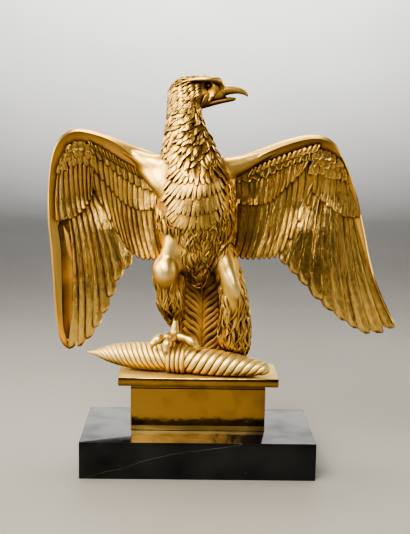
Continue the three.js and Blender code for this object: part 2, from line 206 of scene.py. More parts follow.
def plinth(finish):
    low, high, size = size_of("plinth")
    overhang, slab, cove, edge, quirk = 8.5, 6.4, 3.0, 0.9, 0.3
    width, depth = size[0] - 2 * overhang, size[1] - 2 * overhang
    neck = high[2] - slab - cove
    profile = [(-quirk, low[2]), (0, low[2] + quirk)]
    profile += [(0, mix(low[2], neck, t)) for t in (0.1, 0.25, 0.5, 0.75, 0.9, 0.97)]
    profile += [(-0.5, neck - 0.4), (-0.5, neck + quirk)]
    for step in range(7):
        turn = math.radians(90 * step / 6)
        out = cove * (1 - math.cos(turn)) - quirk
        profile.append((out, neck + quirk + (cove - quirk) * math.sin(turn)))
    under, top = high[2] - slab, high[2]
    eased = [(edge, 0), (0.3 * edge, 0.2 * edge), (0, edge)]
    profile += [(overhang - back, under + up) for back, up in eased]
    profile += [(overhang - back, top - up) for back, up in eased[::-1]]
    box = Casting()
    box.skin(block(width, depth, profile, 0.9, bulge=0.35))
    return box.piece("plinth", finish, sharp=35)


# Thunderbolt

PLINTH_FOOT, PLINTH_TOP = (corner.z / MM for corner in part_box("plinth"))
BOLT_LEFT = np.array([-80.5, 8.3, PLINTH_TOP + 10.6])
BOLT_MIDDLE = np.array([-15, -7, PLINTH_TOP + 10.2])
BOLT_RIGHT = np.array([50, -20.5, PLINTH_TOP + 6.6])
# The length over which a strand goes once round, and the spindles' radii from left to right.
BOLT_LEAD = 27
LEFT_RADIUS = [[0.5], [6.2], [9.3], [9.8], [8.4]]
RIGHT_RADIUS = [[8.6], [9.8], [9.3], [7.1], [4.0]]


def spindle(start, end, radii, strands, hand, groove, blunt=False, steps=84):
    """Strands laid like a rope round a tapering spindle, with sharp grooves between them. The hand
    is the way they turn, and a blunt spindle is rounded off at its end."""
    axis = end - start
    length = np.linalg.norm(axis)
    across = unit(np.array([axis[1], -axis[0], 0]))
    up = unit(np.cross(axis, across))
    points = 9
    rings = []
    for i in range(steps + 1):
        t = i / steps
        radius = along(radii, t)[0]
        if blunt and t > 0.94:
            radius *= math.sqrt(1 - (0.93 * (t - 0.94) / 0.06) ** 2)
        ring = []
        for j in range(strands * points):
            share = j / (strands * points)
            lobe = abs(math.sin(math.pi * strands * share)) ** 0.4
            turn = 2 * math.pi * (share + hand * length / BOLT_LEAD * t)
            reach = radius * (1.02 - groove * (1 - lobe))
            ring.append(start + axis * t + reach * (across * math.cos(turn) + up * math.sin(turn)))
        rings.append(ring)
    return rings


def binding():
    """The rings round the thunderbolt's waist, one lathe profile along its line."""
    axis = unit(BOLT_RIGHT - BOLT_LEFT)
    wide, hollow, crest, count = 3.3, 9.5, 10.7, 4
    rows = []
    steps = 8
    for i in range(count * steps + 1):
        place = (i / steps - count / 2) * wide
        radius = hollow + (crest - hollow) * abs(math.sin(math.pi * i / steps)) ** 0.5
        rows.append([*(BOLT_MIDDLE + axis * place), radius, radius])
    return limb(rows, sides=40, steps=count * steps, across=(0, 0, 1))


def thunderbolt(finish):
    bolt = Casting()
    bolt.skin(spindle(BOLT_LEFT, BOLT_MIDDLE, LEFT_RADIUS, strands=7, hand=1, groove=0.10))
    bolt.skin(spindle(BOLT_MIDDLE, BOLT_RIGHT, RIGHT_RADIUS, strands=5, hand=-1, groove=0.14, blunt=True))
    bolt.skin(binding())
    return bolt.piece("thunderbolt", finish, sharp=60)


# Eagle: the body under the feathers

TRUNK = [
    [0, -9, 129, 2, 2], [-0.6, -8, 137, 9, 7.5], [-2.6, -6.5, 147, 18, 14],
    [-3.4, -5.4, 159, 24.4, 16.2], [-3.6, -5.4, 172, 26.6, 18.8], [-4.2, -5.6, 186, 26.9, 21],
    [-5.2, -5, 200, 25.7, 21.8], [-6.7, -3.6, 212.5, 22.6, 19.6], [-8.6, -2.4, 224, 18.8, 16.2],
    [-10.5, -1.6, 235, 15, 13.7], [-11.7, -1, 246, 12.4, 11.8], [-11.8, -1, 256, 11.6, 10.9],
    [-10.5, -1, 265, 11, 10], [-8, -1, 272, 7, 6],
]
RUMP = [
    [-3, -2, 178, 15.5, 14.5], [-3, 1, 162, 17.5, 14], [-2, 7, 148, 14.5, 8.6], [-1, 11, 135, 11.5, 4],
]
SKULL = [
    [-22, -1, 259.5, 3, 5], [-17.5, -1, 262, 8.2, 8.2], [-10, -1, 264.2, 10.6, 10.2],
    [-1, -1.5, 265.6, 9.9, 10.2], [5, -1.5, 267.4, 8.2, 8.9], [9.2, -1.5, 268.2, 6.9, 7],
    [12, -1.5, 268.4, 4.6, 4.8],
]
LEFT_LEG = [
    [-16.6, -10.4, 173, 4.6, 4.6], [-19, -13.2, 164.4, 6, 6.2], [-21.4, -13.4, 156.4, 5.8, 6.6],
    [-22.8, -12.2, 148, 6.2, 7.4], [-23.4, -11.8, 139.6, 7.4, 8.2], [-22.8, -11.2, 130, 7.2, 7.6],
    [-21, -10, 119, 8, 7.6], [-18.5, -7, 109, 5.8, 5.4], [-17.4, -6, 101, 2.8, 2.8],
]
RIGHT_LEG = [
    [11, -3, 160, 10, 10], [17.5, -8, 148, 9, 10], [21, -10, 136, 8.8, 9.4], [24, -10, 122, 9, 9.2],
    [25.2, -7, 109, 10, 9.6], [25.4, -4, 96, 10.6, 9.8], [26.4, -2, 84, 9, 8.2], [27.4, 0, 77, 5, 4.8],
]
LEFT_KNEE = [
    [-23.4, -12.4, 153, 1.5, 1.5], [-23.6, -13.4, 151.4, 4.8, 4.8], [-24, -14.4, 148.4, 7.6, 7.4],
    [-24.2, -15, 144.4, 9.1, 8.9], [-24.2, -15.2, 140.6, 9.3, 9.2], [-24, -15, 136.8, 8.7, 8.7],
    [-23.6, -14.2, 132.6, 7.6, 7.6], [-23.2, -12.8, 127.6, 6, 6], [-22.8, -11.6, 122.6, 3, 3],
]
RIGHT_KNEE = [
    [16.6, -8.6, 150, 1.5, 1.5], [18.4, -11, 146.2, 4.6, 5.2], [20.8, -13.2, 140.4, 5.8, 6.6],
    [23.4, -14.8, 133.6, 6.1, 7], [26, -14.8, 126.6, 5.8, 6.4], [28, -12.6, 119, 4.6, 4.6],
    [29, -10, 111, 1.5, 1.5],
]

# The plain shoulder that joins the breast to the left arm, and the flanks that join the wings.
SHOULDER = [
    [-57, 8.6, 226.6, 1.5, 1.5], [-49.4, 7.4, 221.6, 2.8, 2.6], [-42.6, 2.8, 217, 5, 4],
    [-37, -2.4, 212, 7.4, 5.4], [-31, -8.2, 205.4, 7.8, 6], [-28.6, -11.4, 199, 6, 5.2],
    [-29.4, -12.2, 193, 1.6, 1.6],
]
FLANKS = [
    [[-25, -3, 203, 5, 5], [-26.6, -2, 190, 5.6, 5.6], [-26, -1, 176, 5.6, 5], [-24, 0, 164, 4, 4]],
    [[19.6, -1, 204, 5, 4.4], [20.6, 0, 190, 4.4, 5], [20.6, 1, 172, 4.2, 5], [19, 2, 160, 3, 4]],
]
CORE_VOXEL = 1.8
CORE_SMOOTHING = 4

# How stout the core of a wing's arm is at its first stations, beside the arm's own radius.
ARM_CORE = (1.25, 1.08, 0.75, 0.5)

# Painted highlights on the raised knees and thighs, where a paler colour is blended in: a centre and a reach.
PAINTED_HIGHLIGHTS = [
    ([-25, -24, 143], 8), ([-21, -20, 158], 6), ([20, -19.6, 141], 5.5), ([23, -21.8, 135], 6),
    ([25.6, -21.2, 128], 5.5),
]


def blended(skins, voxel, smoothing, name):
    """One smooth body from overlapping skins."""
    rough = Casting()
    for rings in skins:
        rough.skin(rings)
    mesh = bpy.data.meshes.new(name)
    mesh.from_pydata(np.concatenate(rough.points).tolist(), [], rough.faces)
    body = bpy.data.objects.new(name, mesh)
    bpy.context.scene.collection.objects.link(body)
    remesh = body.modifiers.new("one skin", "REMESH")
    remesh.mode = "VOXEL"
    remesh.voxel_size = voxel
    soften = body.modifiers.new("soften", "SMOOTH")
    soften.iterations = smoothing
    made = body.evaluated_get(bpy.context.evaluated_depsgraph_get()).to_mesh()
    points = np.array([v.co for v in made.vertices])
    faces = [tuple(p.vertices) for p in made.polygons]
    bpy.data.objects.remove(body)
    return points, faces


class Body:
    """The body's surface, for laying feathers on."""

    def __init__(self, points, faces):
        self.tree = BVHTree.FromPolygons([Vector(p) for p in points], faces)

    def hit(self, outside, towards):
        heading = Vector(towards) - Vector(outside)
        place, normal, _, _ = self.tree.ray_cast(Vector(outside), heading.normalized())
        return (None, None) if place is None else (np.array(place), np.array(normal))

    def nearest(self, point):
        place, normal, _, _ = self.tree.find_nearest(Vector(point))
        return np.array(place), np.array(normal)


def dented(points, dents):
    """Points pushed towards each dent's aim, most at its centre. A dent is a centre, a reach, an
    aim and a depth."""
    moved = points.copy()
    for centre, reach, aim, depth in dents:
        away = np.linalg.norm(points - np.array(centre), axis=1) / reach
        share = np.clip(1 - away**2, 0, 1) ** 2
        moved += np.outer(share * depth, unit(np.array(aim, float)))
    return moved


# Feathers

# Sections across a feather: points around its face as shares of its half width and its height,
# and where its underside has points.
NARROW = {"around": [(-1, 0.1), (-0.8, 0.84), (0, 1.05), (0.8, 0.84), (1, 0.1)], "under": [0]}
BROAD = {
    "around": [
        (-1, 0), (-0.94, 0.72), (-0.82, 0.52), (-0.45, 0.86), (0, 1.1),
        (0.45, 0.86), (0.82, 0.52), (0.94, 0.72), (1, 0),
    ],
    "under": [0.75, 0, -0.75],
}
FLUTED = {
    "around": [
        (-1, 0), (-0.9, 0.8), (-0.62, 0.66), (-0.38, 0.95), (-0.12, 0.72), (0.12, 1.05),
        (0.36, 0.74), (0.6, 1.0), (0.86, 0.8), (1, 0),
    ],
    "under": [0.75, 0, -0.75],
}
BLADE_BACK = 0.8

# Outlines of small feathers: shares of the half width from root to tip.
POINTED = [[0.55], [0.95], [1], [0.8], [0.42], [0.05]]
BLUNT = [[0.7], [1], [1], [0.94], [0.72], [0.2]]
ROUNDED = [[0.9], [1], [1], [1], [0.94], [0.5]]


def blade(casting, frames, thick, lengths):
    """A closed narrow feather over its frames: middle, side, normal and half width."""
    around, under = NARROW["around"], NARROW["under"]
    rings = []
    for middle, side, normal, half in frames:
        slim = min(1.0, half)
        ring = [middle + side * (u * half) + normal * (h * thick * slim) for u, h in around]
        ring += [middle + side * (u * half) - normal * (BLADE_BACK * slim) for u in under]
        rings.append(ring)
    casting.skin(rings, [u for u, _ in around] + under, lengths, mark=0.5)


def lay(
    casting, body, start, heading, length, half, outline, lift, thick,
    sink=0.5, curl=0.0, roll=0.0, stations=5,
):
    """A small feather laid on the body from its root, its tip lifted clear of the next row and one
    edge raised by the roll."""
    place, normal = body.nearest(start)
    heading = square_to(heading, normal)
    step = length / (stations - 1)
    frames = []
    for k in range(stations):
        v = k / (stations - 1)
        side = unit(np.cross(normal, heading) + normal * roll)
        rise = mix(-sink, lift, v**0.8)
        frames.append((place + normal * rise, side, normal, half * max(along(outline, v)[0], 0.05)))
        place, normal = body.nearest(place + (heading + side * curl * v) * step)
        heading = square_to(heading + side * curl * 0.2, normal)
    blade(casting, frames, thick, [step * k for k in range(stations)])


# How far out the rays start that find the places of feathers on the trunk, the breast, the head
# and the legs.
TRUNK_CLEAR = 70
BREAST_CLEAR = 80
HEAD_CLEAR = 40
LEG_CLEAR = 40

# Forms that face upwards under this height are the wings' arms, which carry no feathers.
NECK_FOOT = 232

# The plain left shoulder ends at this x, which runs out to the left under the bend, and at the
# height of its top.
SHOULDER_EDGE = -20.4
SHOULDER_BEND = 217.6
SHOULDER_TOP = 224


def on_shoulder(place):
    """Whether a point lies on the plain left shoulder."""
    edge = SHOULDER_EDGE + min((place[2] - SHOULDER_BEND) * 0.5, 0)
    return place[1] < 4 and place[2] < SHOULDER_TOP and place[0] < edge


def trunk_axis(z):
    """The middle of the trunk at a height."""
    heights = [row[2] for row in TRUNK]
    return np.array([np.interp(z, heights, [row[k] for row in TRUNK]) for k in (0, 1)])


def trunk_row(casting, body, z, rise, pitch, form, sectors, flow, stagger=0.0, jitter=0.08):
    """One ring of feathers round the trunk at a height in front; the row climbs by `rise` at the
    back. `flow` gives the way they point at a turn from the front."""
    widths = [np.interp(z, [row[2] for row in TRUNK], [row[k] for row in TRUNK]) for k in (3, 4)]
    girth = 2 * math.pi * math.sqrt((widths[0] ** 2 + widths[1] ** 2) / 2)
    count = round(girth / pitch)
    for i in range(count):
        turn = 2 * math.pi * ((i + stagger) / count) - math.pi
        if not any(low <= math.degrees(turn) <= high for low, high in sectors):
            continue
        height = z + rise * (1 - math.cos(turn)) + chance.uniform(-6, 6) * jitter
        axis = np.array([*trunk_axis(height), height])
        out = np.array([math.sin(turn), -math.cos(turn), 0])
        place, normal = body.hit(axis + out * TRUNK_CLEAR, axis)
        reach = 1 / math.hypot(math.sin(turn) / widths[0], math.cos(turn) / widths[1])
        if place is None or on_shoulder(place):
            continue
        on_wing = np.linalg.norm((place - axis)[:2]) > 1.1 * reach + 1.2
        if on_wing or normal[2] > 0.5 and z < NECK_FOOT:
            continue
        around = np.array([math.cos(turn), math.sin(turn), 0])
        heading = unit(unit(flow(turn)) + around * chance.uniform(-2, 2) * jitter)
        size = 1 + chance.uniform(-1, 1) * jitter
        curl, roll = chance.uniform(-3, 3) * jitter, chance.uniform(-2, 2) * jitter
        length, half = form["length"] * size, form["half"] * size
        lay(casting, body, place, heading, length, half, curl=curl, roll=roll, **form["shape"])


def neck_hackles(casting, body):
    """Slender hackles that sweep back from the face and spread over the shoulders."""
    rows = 12
    for k in reversed(range(rows)):
        t = k / (rows - 1)
        z = mix(265, 217, t)
        sweep, spread = mix(1.25, 0.15, t**2.2), mix(0, 0.8, t**2.4)
        shape = {"outline": BLUNT, "lift": mix(1.0, 1.6, t), "thick": mix(0.8, 0.95, t), "sink": 0.9}
        form = {"length": mix(8.5, 10.5, t), "half": mix(1.6, 2.1, t), "shape": shape}
        bare_from = 76 if z > 244 else 86 if z > 228 else 180
        sectors = [(-180, bare_from), (112, 180)] if z > 229 else [(-76, 74), (118, 180), (-180, -118)]

        def flow(turn):
            return np.array([spread * math.sin(turn) - sweep, -spread * math.cos(turn), -1])

        trunk_row(casting, body, z, mix(0, 3, t), mix(2.9, 3.6, t), form, sectors, flow, 0.5 * (k % 2), 0.15)


# Where the tips of the breast's four rows of feathers lie, from left to right, as x and height,
# and how far apart they are.
BREAST_PITCH = 2.95
BREAST_TIPS = [
    [[-33, 212], [-26, 207], [-12, 203], [2, 203.4], [12, 208], [18, 216]],
    [[-33, 203], [-25, 197.4], [-12, 193.6], [2, 194.4], [12.5, 198.6], [18.8, 207]],
    [[-31.5, 193], [-21.5, 185], [-10, 181.8], [3, 183], [11.6, 187], [19.4, 197]],
    [[-26, 183.4], [-18.6, 174.6], [-9, 172.4], [3, 173], [11, 177], [18.6, 187]],
]


def breast_feathers(casting, body):
    """Rows of broad rounded feathers that fan out over the breast, each overlapping the next."""
    shape = {"outline": ROUNDED, "thick": 0.8, "sink": 0.9}
    for k, tips in reversed(list(enumerate(BREAST_TIPS))):
        edge = np.array([along(tips, t / 40)[:2] for t in range(41)])
        count = round(np.sum(np.linalg.norm(np.diff(edge, axis=0), axis=1)) / BREAST_PITCH)
        for i in range(count):
            tip = along(tips, (i + 0.25 + 0.5 * (k % 2)) / count) + np.array([0, chance.uniform(-0.9, 0.9)])
            fan = (tip[0] + 2) * (1.9 if tip[0] < 0 else 1.1) + chance.uniform(-5, 5)
            fan = math.radians(min(max(fan, -58), 40))
            down = np.array([math.sin(fan), -math.cos(fan)])
            length = chance.uniform(12.5, 14.5)
            root = tip - down * length
            place, _ = body.hit([root[0], -BREAST_CLEAR, root[1]], [root[0], 0, root[1]])
            if place is None or place[1] > -2 or on_shoulder([tip[0], place[1], tip[1]]):
                continue
            half, lift = chance.uniform(1.7, 1.95), chance.uniform(1.0, 1.4) - 0.1 * k
            roll = 0.14 * min(max((4 - tip[0]) / 9, -1), 1)
            lay(
                casting, body, place, np.array([down[0], 0, down[1]]), length, half,
                lift=lift, roll=roll + chance.uniform(-0.1, 0.1), stations=6, **shape
            )


def straight_down(turn):
    """The way feathers point where they hang, whatever their turn from the front."""
    return np.array([0, 0, -1.0])


def trunk_feathers(casting, body):
    """The neck, breast and belly, and a plainer mantle behind."""
    tongue = {"outline": ROUNDED, "lift": 1.3, "thick": 0.9, "sink": 0.8}
    wisp = {"outline": POINTED, "lift": 1.1, "thick": 0.8, "sink": 0.6}
    belly_rows = 13
    for k in reversed(range(belly_rows)):
        t = k / (belly_rows - 1)
        form = {"length": mix(8, 8.6, t), "half": mix(0.9, 0.8, t), "shape": wisp}
        narrow = mix(0.1, 0.75, t)
        left = -94 if t < 0.22 else -36 if t < 0.8 else -80

        def flow(turn):
            return np.array([-narrow * math.sin(turn), 0, -1])

        trunk_row(
            casting, body, mix(180, 132, t), mix(7, 2, t), 2.05, form, [(left, 94)], flow, 0.5 * (k % 2), 0.26
        )
    for k, z in enumerate([184, 189, 194, 199, 204]):
        form = {"length": 8, "half": 1.1, "shape": wisp}
        sectors = [(72, 122), (-122, -84)]
        trunk_row(casting, body, z, 0, 2.5, form, sectors, straight_down, 0.5 * (k % 2), 0.2)
    for k, z in enumerate([166, 176, 186, 196, 206]):
        form = {"length": 14, "half": 2.6, "shape": tongue}
        sectors = [(98, 180), (-180, -98)]
        trunk_row(casting, body, z, 5, 4.4, form, sectors, straight_down, 0.5 * (k % 2))
    breast_feathers(casting, body)
    neck_hackles(casting, body)


# The head's middle plane, the height of its centre, and the height under which the neck begins.
HEAD_MIDDLE = -1.5
HEAD_CENTRE = 264
CHIN = 254


def head_feathers(casting, body):
    """Small feathers over the crown and cheeks, from the face back to the nape."""
    shape = {"outline": POINTED, "lift": 1.3, "thick": 0.9, "sink": 0.7}
    for k in range(8):
        x = mix(-20, 6.4, k / 7)
        bare_to = 0 if x < -3 else 56 if x < 0 else 84 if x < 4 else 116
        for i in range(-11, 12):
            turn = math.radians(12.5 * (i + 0.5 * (k % 2)))
            if 30 < abs(math.degrees(turn)) < bare_to:
                continue
            out = np.array([0, -math.sin(turn), math.cos(turn)])
            axis = np.array([x, HEAD_MIDDLE, HEAD_CENTRE])
            place, _ = body.hit(axis + out * HEAD_CLEAR, axis)
            if place is None or place[2] < CHIN:
                continue
            down = 0.2 + 0.95 * abs(math.sin(turn)) * mix(1, 0.7, k / 7) + chance.uniform(-0.15, 0.15)
            heading = np.array([-1, 0, -down])
            length, half = mix(8, 6, k / 7), mix(1.6, 1.2, k / 7)
            lay(casting, body, place, heading, length, half, roll=chance.uniform(-0.25, 0.25), **shape)


# Tiers of leg feathers from the foot up. A tier is the share of the leg at its roots, a length, a
# half width, a lift and the sector in degrees that it leaves bare in front.
LEFT_TIERS = [
    (0.9, 10, 1.1, 1.5, (-52, 44)), (0.82, 14, 1.15, 1.7, (-34, 30)), (0.74, 15, 1.2, 1.9, (-22, 18)),
    (0.67, 16, 1.25, 1.9, None), (0.61, 16, 1.2, 1.6, None), (0.56, 14, 1.1, 1.1, (-30, 26)),
    (0.5, 12, 1.1, 1.0, (-60, 52)),
]
RIGHT_TIERS = [
    (0.88, 11, 1.25, 1.5, None), (0.79, 14, 1.3, 1.7, None), (0.7, 15, 1.3, 1.9, None),
    (0.61, 15, 1.3, 1.9, None), (0.53, 15, 1.25, 1.8, None), (0.46, 14, 1.2, 1.6, (-8, 8)),
    (0.39, 13, 1.2, 1.4, (-26, 24)), (0.32, 12, 1.2, 1.2, (-38, 32)), (0.25, 12, 1.15, 1.1, (-42, 38)),
    (0.18, 11, 1.15, 1.0, (-56, 56)),
]


def leg_feathers(casting, body, rows, tiers):
    """Shaggy feathers hanging round a leg in tiers."""
    for k, (share, length, half, lift, bare) in enumerate(tiers):
        row = along(rows, share)
        count = round(2 * math.pi * max(row[3], row[4]) / (1.7 * half))
        shape = {"outline": POINTED, "lift": lift, "thick": 1.1, "sink": 0.9, "stations": 6}
        for i in range(count):
            turn = 2 * math.pi * (i + 0.5 * (k % 2)) / count - math.pi
            if bare and bare[0] < math.degrees(turn) < bare[1]:
                continue
            out = np.array([math.sin(turn), -math.cos(turn), 0])
            axis = row[:3] + np.array([0, 0, chance.uniform(-1.5, 1.5)])
            place, normal = body.hit(axis + out * LEG_CLEAR, axis)
            if place is None:
                continue
            on_trunk = np.linalg.norm(place - axis) > 1.7 * row[3]
            if on_trunk or normal[2] < -0.6:
                continue
            heading = np.array([0.24 * chance.uniform(-1, 1), 0.2 * chance.uniform(-1, 1), -1.0])
            size = 1 + chance.uniform(-0.18, 0.18)
            curl, roll = chance.uniform(-0.4, 0.4), chance.uniform(-0.25, 0.25)
            lay(casting, body, place, heading, length * size, half, curl=curl, roll=roll, **shape)


# Eagle: wings and tail

# The wings in plan, as x and height. An arm row is x, height, radius and, in radii, the places of
# its crest and of its band's edge. The web is the lower edge of the plate behind the feathers. Each
# row of feathers has the line of its roots and of its tips from the body outwards, the number of
# its feathers, and how far they bow beside their length.
WINGS = {
    "right": {
        "arm": [
            [2, 209, 10, 0.6, 1.1], [24, 213.9, 7.2, 0.45, 1.2], [43, 221.7, 5.5, -0.2, 1.6],
            [62, 229.3, 4.9, -0.28, 1.8], [79, 232.8, 4.4, -0.36, 2.0], [90.4, 229.2, 4.2, -0.5, 2.0],
            [98.5, 217.3, 3.8, -0.7, 1.8], [105.6, 202.2, 3.2, -0.72, 1.3], [111.4, 185, 2.8, -0.6, 1.0],
            [116.6, 167, 2.3, -0.5, 1.0], [121, 149, 2, -0.4, 1.0], [126.6, 131, 1.9, -0.3, 1.0],
            [134, 115, 1.8, -0.2, 1.0], [141.8, 101.4, 1.6, 0, 1.0],
        ],
        "web": [[12, 172], [46, 172], [76, 180], [92, 174], [112, 170]],
        "primaries": {
            "roots": [[80, 206], [94, 204], [108, 192]],
            "tips": [[56, 147], [70, 133], [89, 113.6], [109, 99], [126, 91.6], [143.4, 97]],
            "count": 10, "bow": -0.035,
        },
        "secondaries": {
            "roots": [[16, 196], [36, 201], [52, 207], [66, 214], [80, 219]],
            "tips": [[15, 152], [29, 148.4], [43, 148.6], [57, 153], [78, 190]],
            "count": 14, "bow": 0.05,
        },
        "primary_coverts": {
            "roots": [[79, 212], [90, 211], [99, 208], [107, 205]],
            "tips": [[79.6, 196], [88, 188.6], [102, 179], [114.6, 178.4]],
            "count": 8, "bow": 0.03,
        },
        "coverts": {
            "roots": [[18, 203], [36, 208], [51, 213], [63, 219], [78, 226]],
            "tips": [[20, 187.5], [35, 186.5], [48, 188.6], [59, 198], [72, 212]],
            "count": 15, "bow": 0.04,
        },
        "middle_coverts": {
            "roots": [[24, 209], [42, 214.5], [57, 221], [70, 227], [82, 231]],
            "tips": [[23, 202.5], [41, 205], [56, 212.6], [69, 217.4], [81, 219]],
            "count": 12, "bow": 0.02,
        },
        "cords": {
            "roots": [[35, 212.4], [46, 217.6], [59, 222.8], [72.5, 227.6], [84, 230.4]],
            "tips": [[31.4, 205.6], [43, 211.8], [56, 217], [69, 222], [81, 224.6]],
            "count": 15, "bow": 0.02,
        },
        "low_scales": {
            "roots": [[77, 216.5], [86, 215], [96, 212], [104, 209.4]],
            "tips": [[75.6, 209], [85, 207], [96, 204.4], [106.6, 202]],
            "count": 8, "bow": 0.06,
        },
        "middle_scales": {
            "roots": [[78.6, 222], [87, 220.4], [96, 217], [101.6, 213.6]],
            "tips": [[77, 214.4], [86.4, 212.6], [95.6, 209.6], [104, 206.6]],
            "count": 7, "bow": 0.06,
        },
        "high_scales": {
            "roots": [[81, 227], [88, 225.6], [94.6, 222], [98.6, 219]],
            "tips": [[79.6, 219.6], [87.4, 218], [95, 214.6], [101.4, 211.4]],
            "count": 6, "bow": 0.06,
        },
        "back_coverts": {
            "roots": [[12, 212], [48, 221], [88, 228], [110, 196]],
            "tips": [[14, 180], [46, 182], [80, 188], [116, 166]],
            "count": 13, "bow": 0,
        },
    },
    "left": {
        "arm": [
            [-10, 209, 10, 1.0, 1.2], [-31, 213.8, 8.4, 0.9, 1.15], [-47, 220.8, 6.2, 0.15, 1.5],
            [-64, 228.3, 5.3, -0.5, 1.7], [-80, 233.4, 4.8, -0.55, 1.9], [-90.4, 233.2, 4.9, -0.6, 1.9],
            [-98.9, 225.5, 4.5, -0.65, 1.6], [-103.4, 211.2, 3.8, -0.7, 1.1], [-105.8, 193, 3.2, -0.6, 0.7],
            [-106.2, 174, 2.9, -0.5, 1.1], [-104.6, 154, 2.7, -0.35, 1.7], [-103, 131, 2.6, -0.35, 1.5],
            [-101.6, 109, 2.5, -0.3, 1.1], [-99.8, 93, 2.4, -0.2, 0.9], [-96.8, 84.6, 2.2, -0.1, 1.0],
            [-92.4, 80.8, 1.6, 0, 1.0],
        ],
        "web": [[-20, 172], [-48, 170], [-74, 177], [-88, 178], [-102, 188]],
        "primaries": {
            "roots": [[-78, 200], [-87, 199], [-96, 186]],
            "tips": [[-47, 143.6], [-57.6, 130], [-66, 110], [-75, 93.4], [-84, 82], [-94, 79.6]],
            "count": 8, "bow": 0.045,
        },
        "secondaries": {
            "roots": [[-24, 194], [-40, 199], [-52, 205], [-65, 213], [-78, 220]],
            "tips": [[-22, 151], [-32, 147.4], [-45, 149], [-58, 165], [-76, 197]],
            "count": 14, "bow": -0.05,
        },
        "primary_coverts": {
            "roots": [[-74, 214], [-83, 218], [-93, 215], [-101.6, 208]],
            "tips": [[-77, 192], [-81.6, 183], [-90, 175.6], [-102.6, 172.6]],
            "count": 9, "bow": -0.03,
        },
        "coverts": {
            "roots": [[-26, 201], [-41, 205.6], [-54, 212.6], [-66, 220], [-79, 227]],
            "tips": [[-27, 184.6], [-41, 182], [-54, 186.4], [-65, 198], [-77, 212.6]],
            "count": 14, "bow": -0.04,
        },
        "middle_coverts": {
            "roots": [[-33, 205], [-45, 211.6], [-56, 217], [-67, 224], [-80, 231]],
            "tips": [[-33, 195], [-44, 198.6], [-54.6, 204.6], [-65, 212.6], [-76, 221.6]],
            "count": 10, "bow": -0.02,
        },
        "cords": {
            "roots": [[-40, 209.6], [-49, 213.6], [-59, 218.6], [-69, 224.6], [-80, 230.4]],
            "tips": [[-36, 201.6], [-46, 207], [-56, 212.2], [-66, 218], [-76.6, 225]],
            "count": 18, "bow": -0.02,
        },
        "low_scales": {
            "roots": [[-73.6, 216], [-83, 220.4], [-93, 218], [-100.6, 212.6]],
            "tips": [[-72, 208.4], [-82, 212.4], [-91.5, 210.6], [-101.6, 205]],
            "count": 7, "bow": -0.06,
        },
        "middle_scales": {
            "roots": [[-74.6, 221.6], [-84, 225.6], [-93.4, 222.4], [-99, 217.4]],
            "tips": [[-73, 214], [-82.6, 218], [-92.4, 215.4], [-100, 210]],
            "count": 7, "bow": -0.06,
        },
        "high_scales": {
            "roots": [[-76.4, 226.4], [-85.4, 230], [-93, 227], [-96.6, 222]],
            "tips": [[-75, 219.6], [-84, 223.4], [-92.6, 220.4], [-98, 215.6]],
            "count": 6, "bow": -0.06,
        },
        "back_coverts": {
            "roots": [[-20, 212], [-52, 220], [-90, 230], [-105, 196]],
            "tips": [[-20, 180], [-50, 181], [-84, 184], [-107, 166]],
            "count": 13, "bow": 0,
        },
    },
}

# The left wing's edge groove: x of its outer lip, z, and x of its inner lip. Then the small feather
# in it, whose y is counted from the wing's plan.
LEFT_HOLLOW = [
    [-105, 190, -92], [-104.6, 172, -89.6], [-103, 148, -88], [-102, 124, -87], [-100.6, 100, -88],
    [-96, 87, -90],
]
HOLLOW_BLADE = [
    [-98.4, 3.4, 169.4, 0.3, 0.3], [-96.0, 2.4, 162, 2.1, 0.7], [-93.0, 1.2, 153.6, 3.4, 0.9],
    [-90.8, 0.2, 145.4, 2.2, 0.8], [-89.4, -0.6, 137, 0.3, 0.3],
]
# The tail's row of feathers, its middle feather as heights and half widths, and the heights at
# which its first and last barbs leave the shaft.
TAIL = {
    "roots": [[-19, 140], [-2, 150], [12, 141]],
    "tips": [[-19, 80], [-9, 68.6], [2, 67.4], [14, 68.6], [26, 80]],
    "count": 8, "bow": 0,
}
VANE = [(134, 9.5), (118, 11.5), (100, 12.5), (84, 13), (72, 12.5), (66.6, 9)]
VANE_CROWN = 1.5
BARBS = 11
BARB_HEIGHTS = (116, 66)

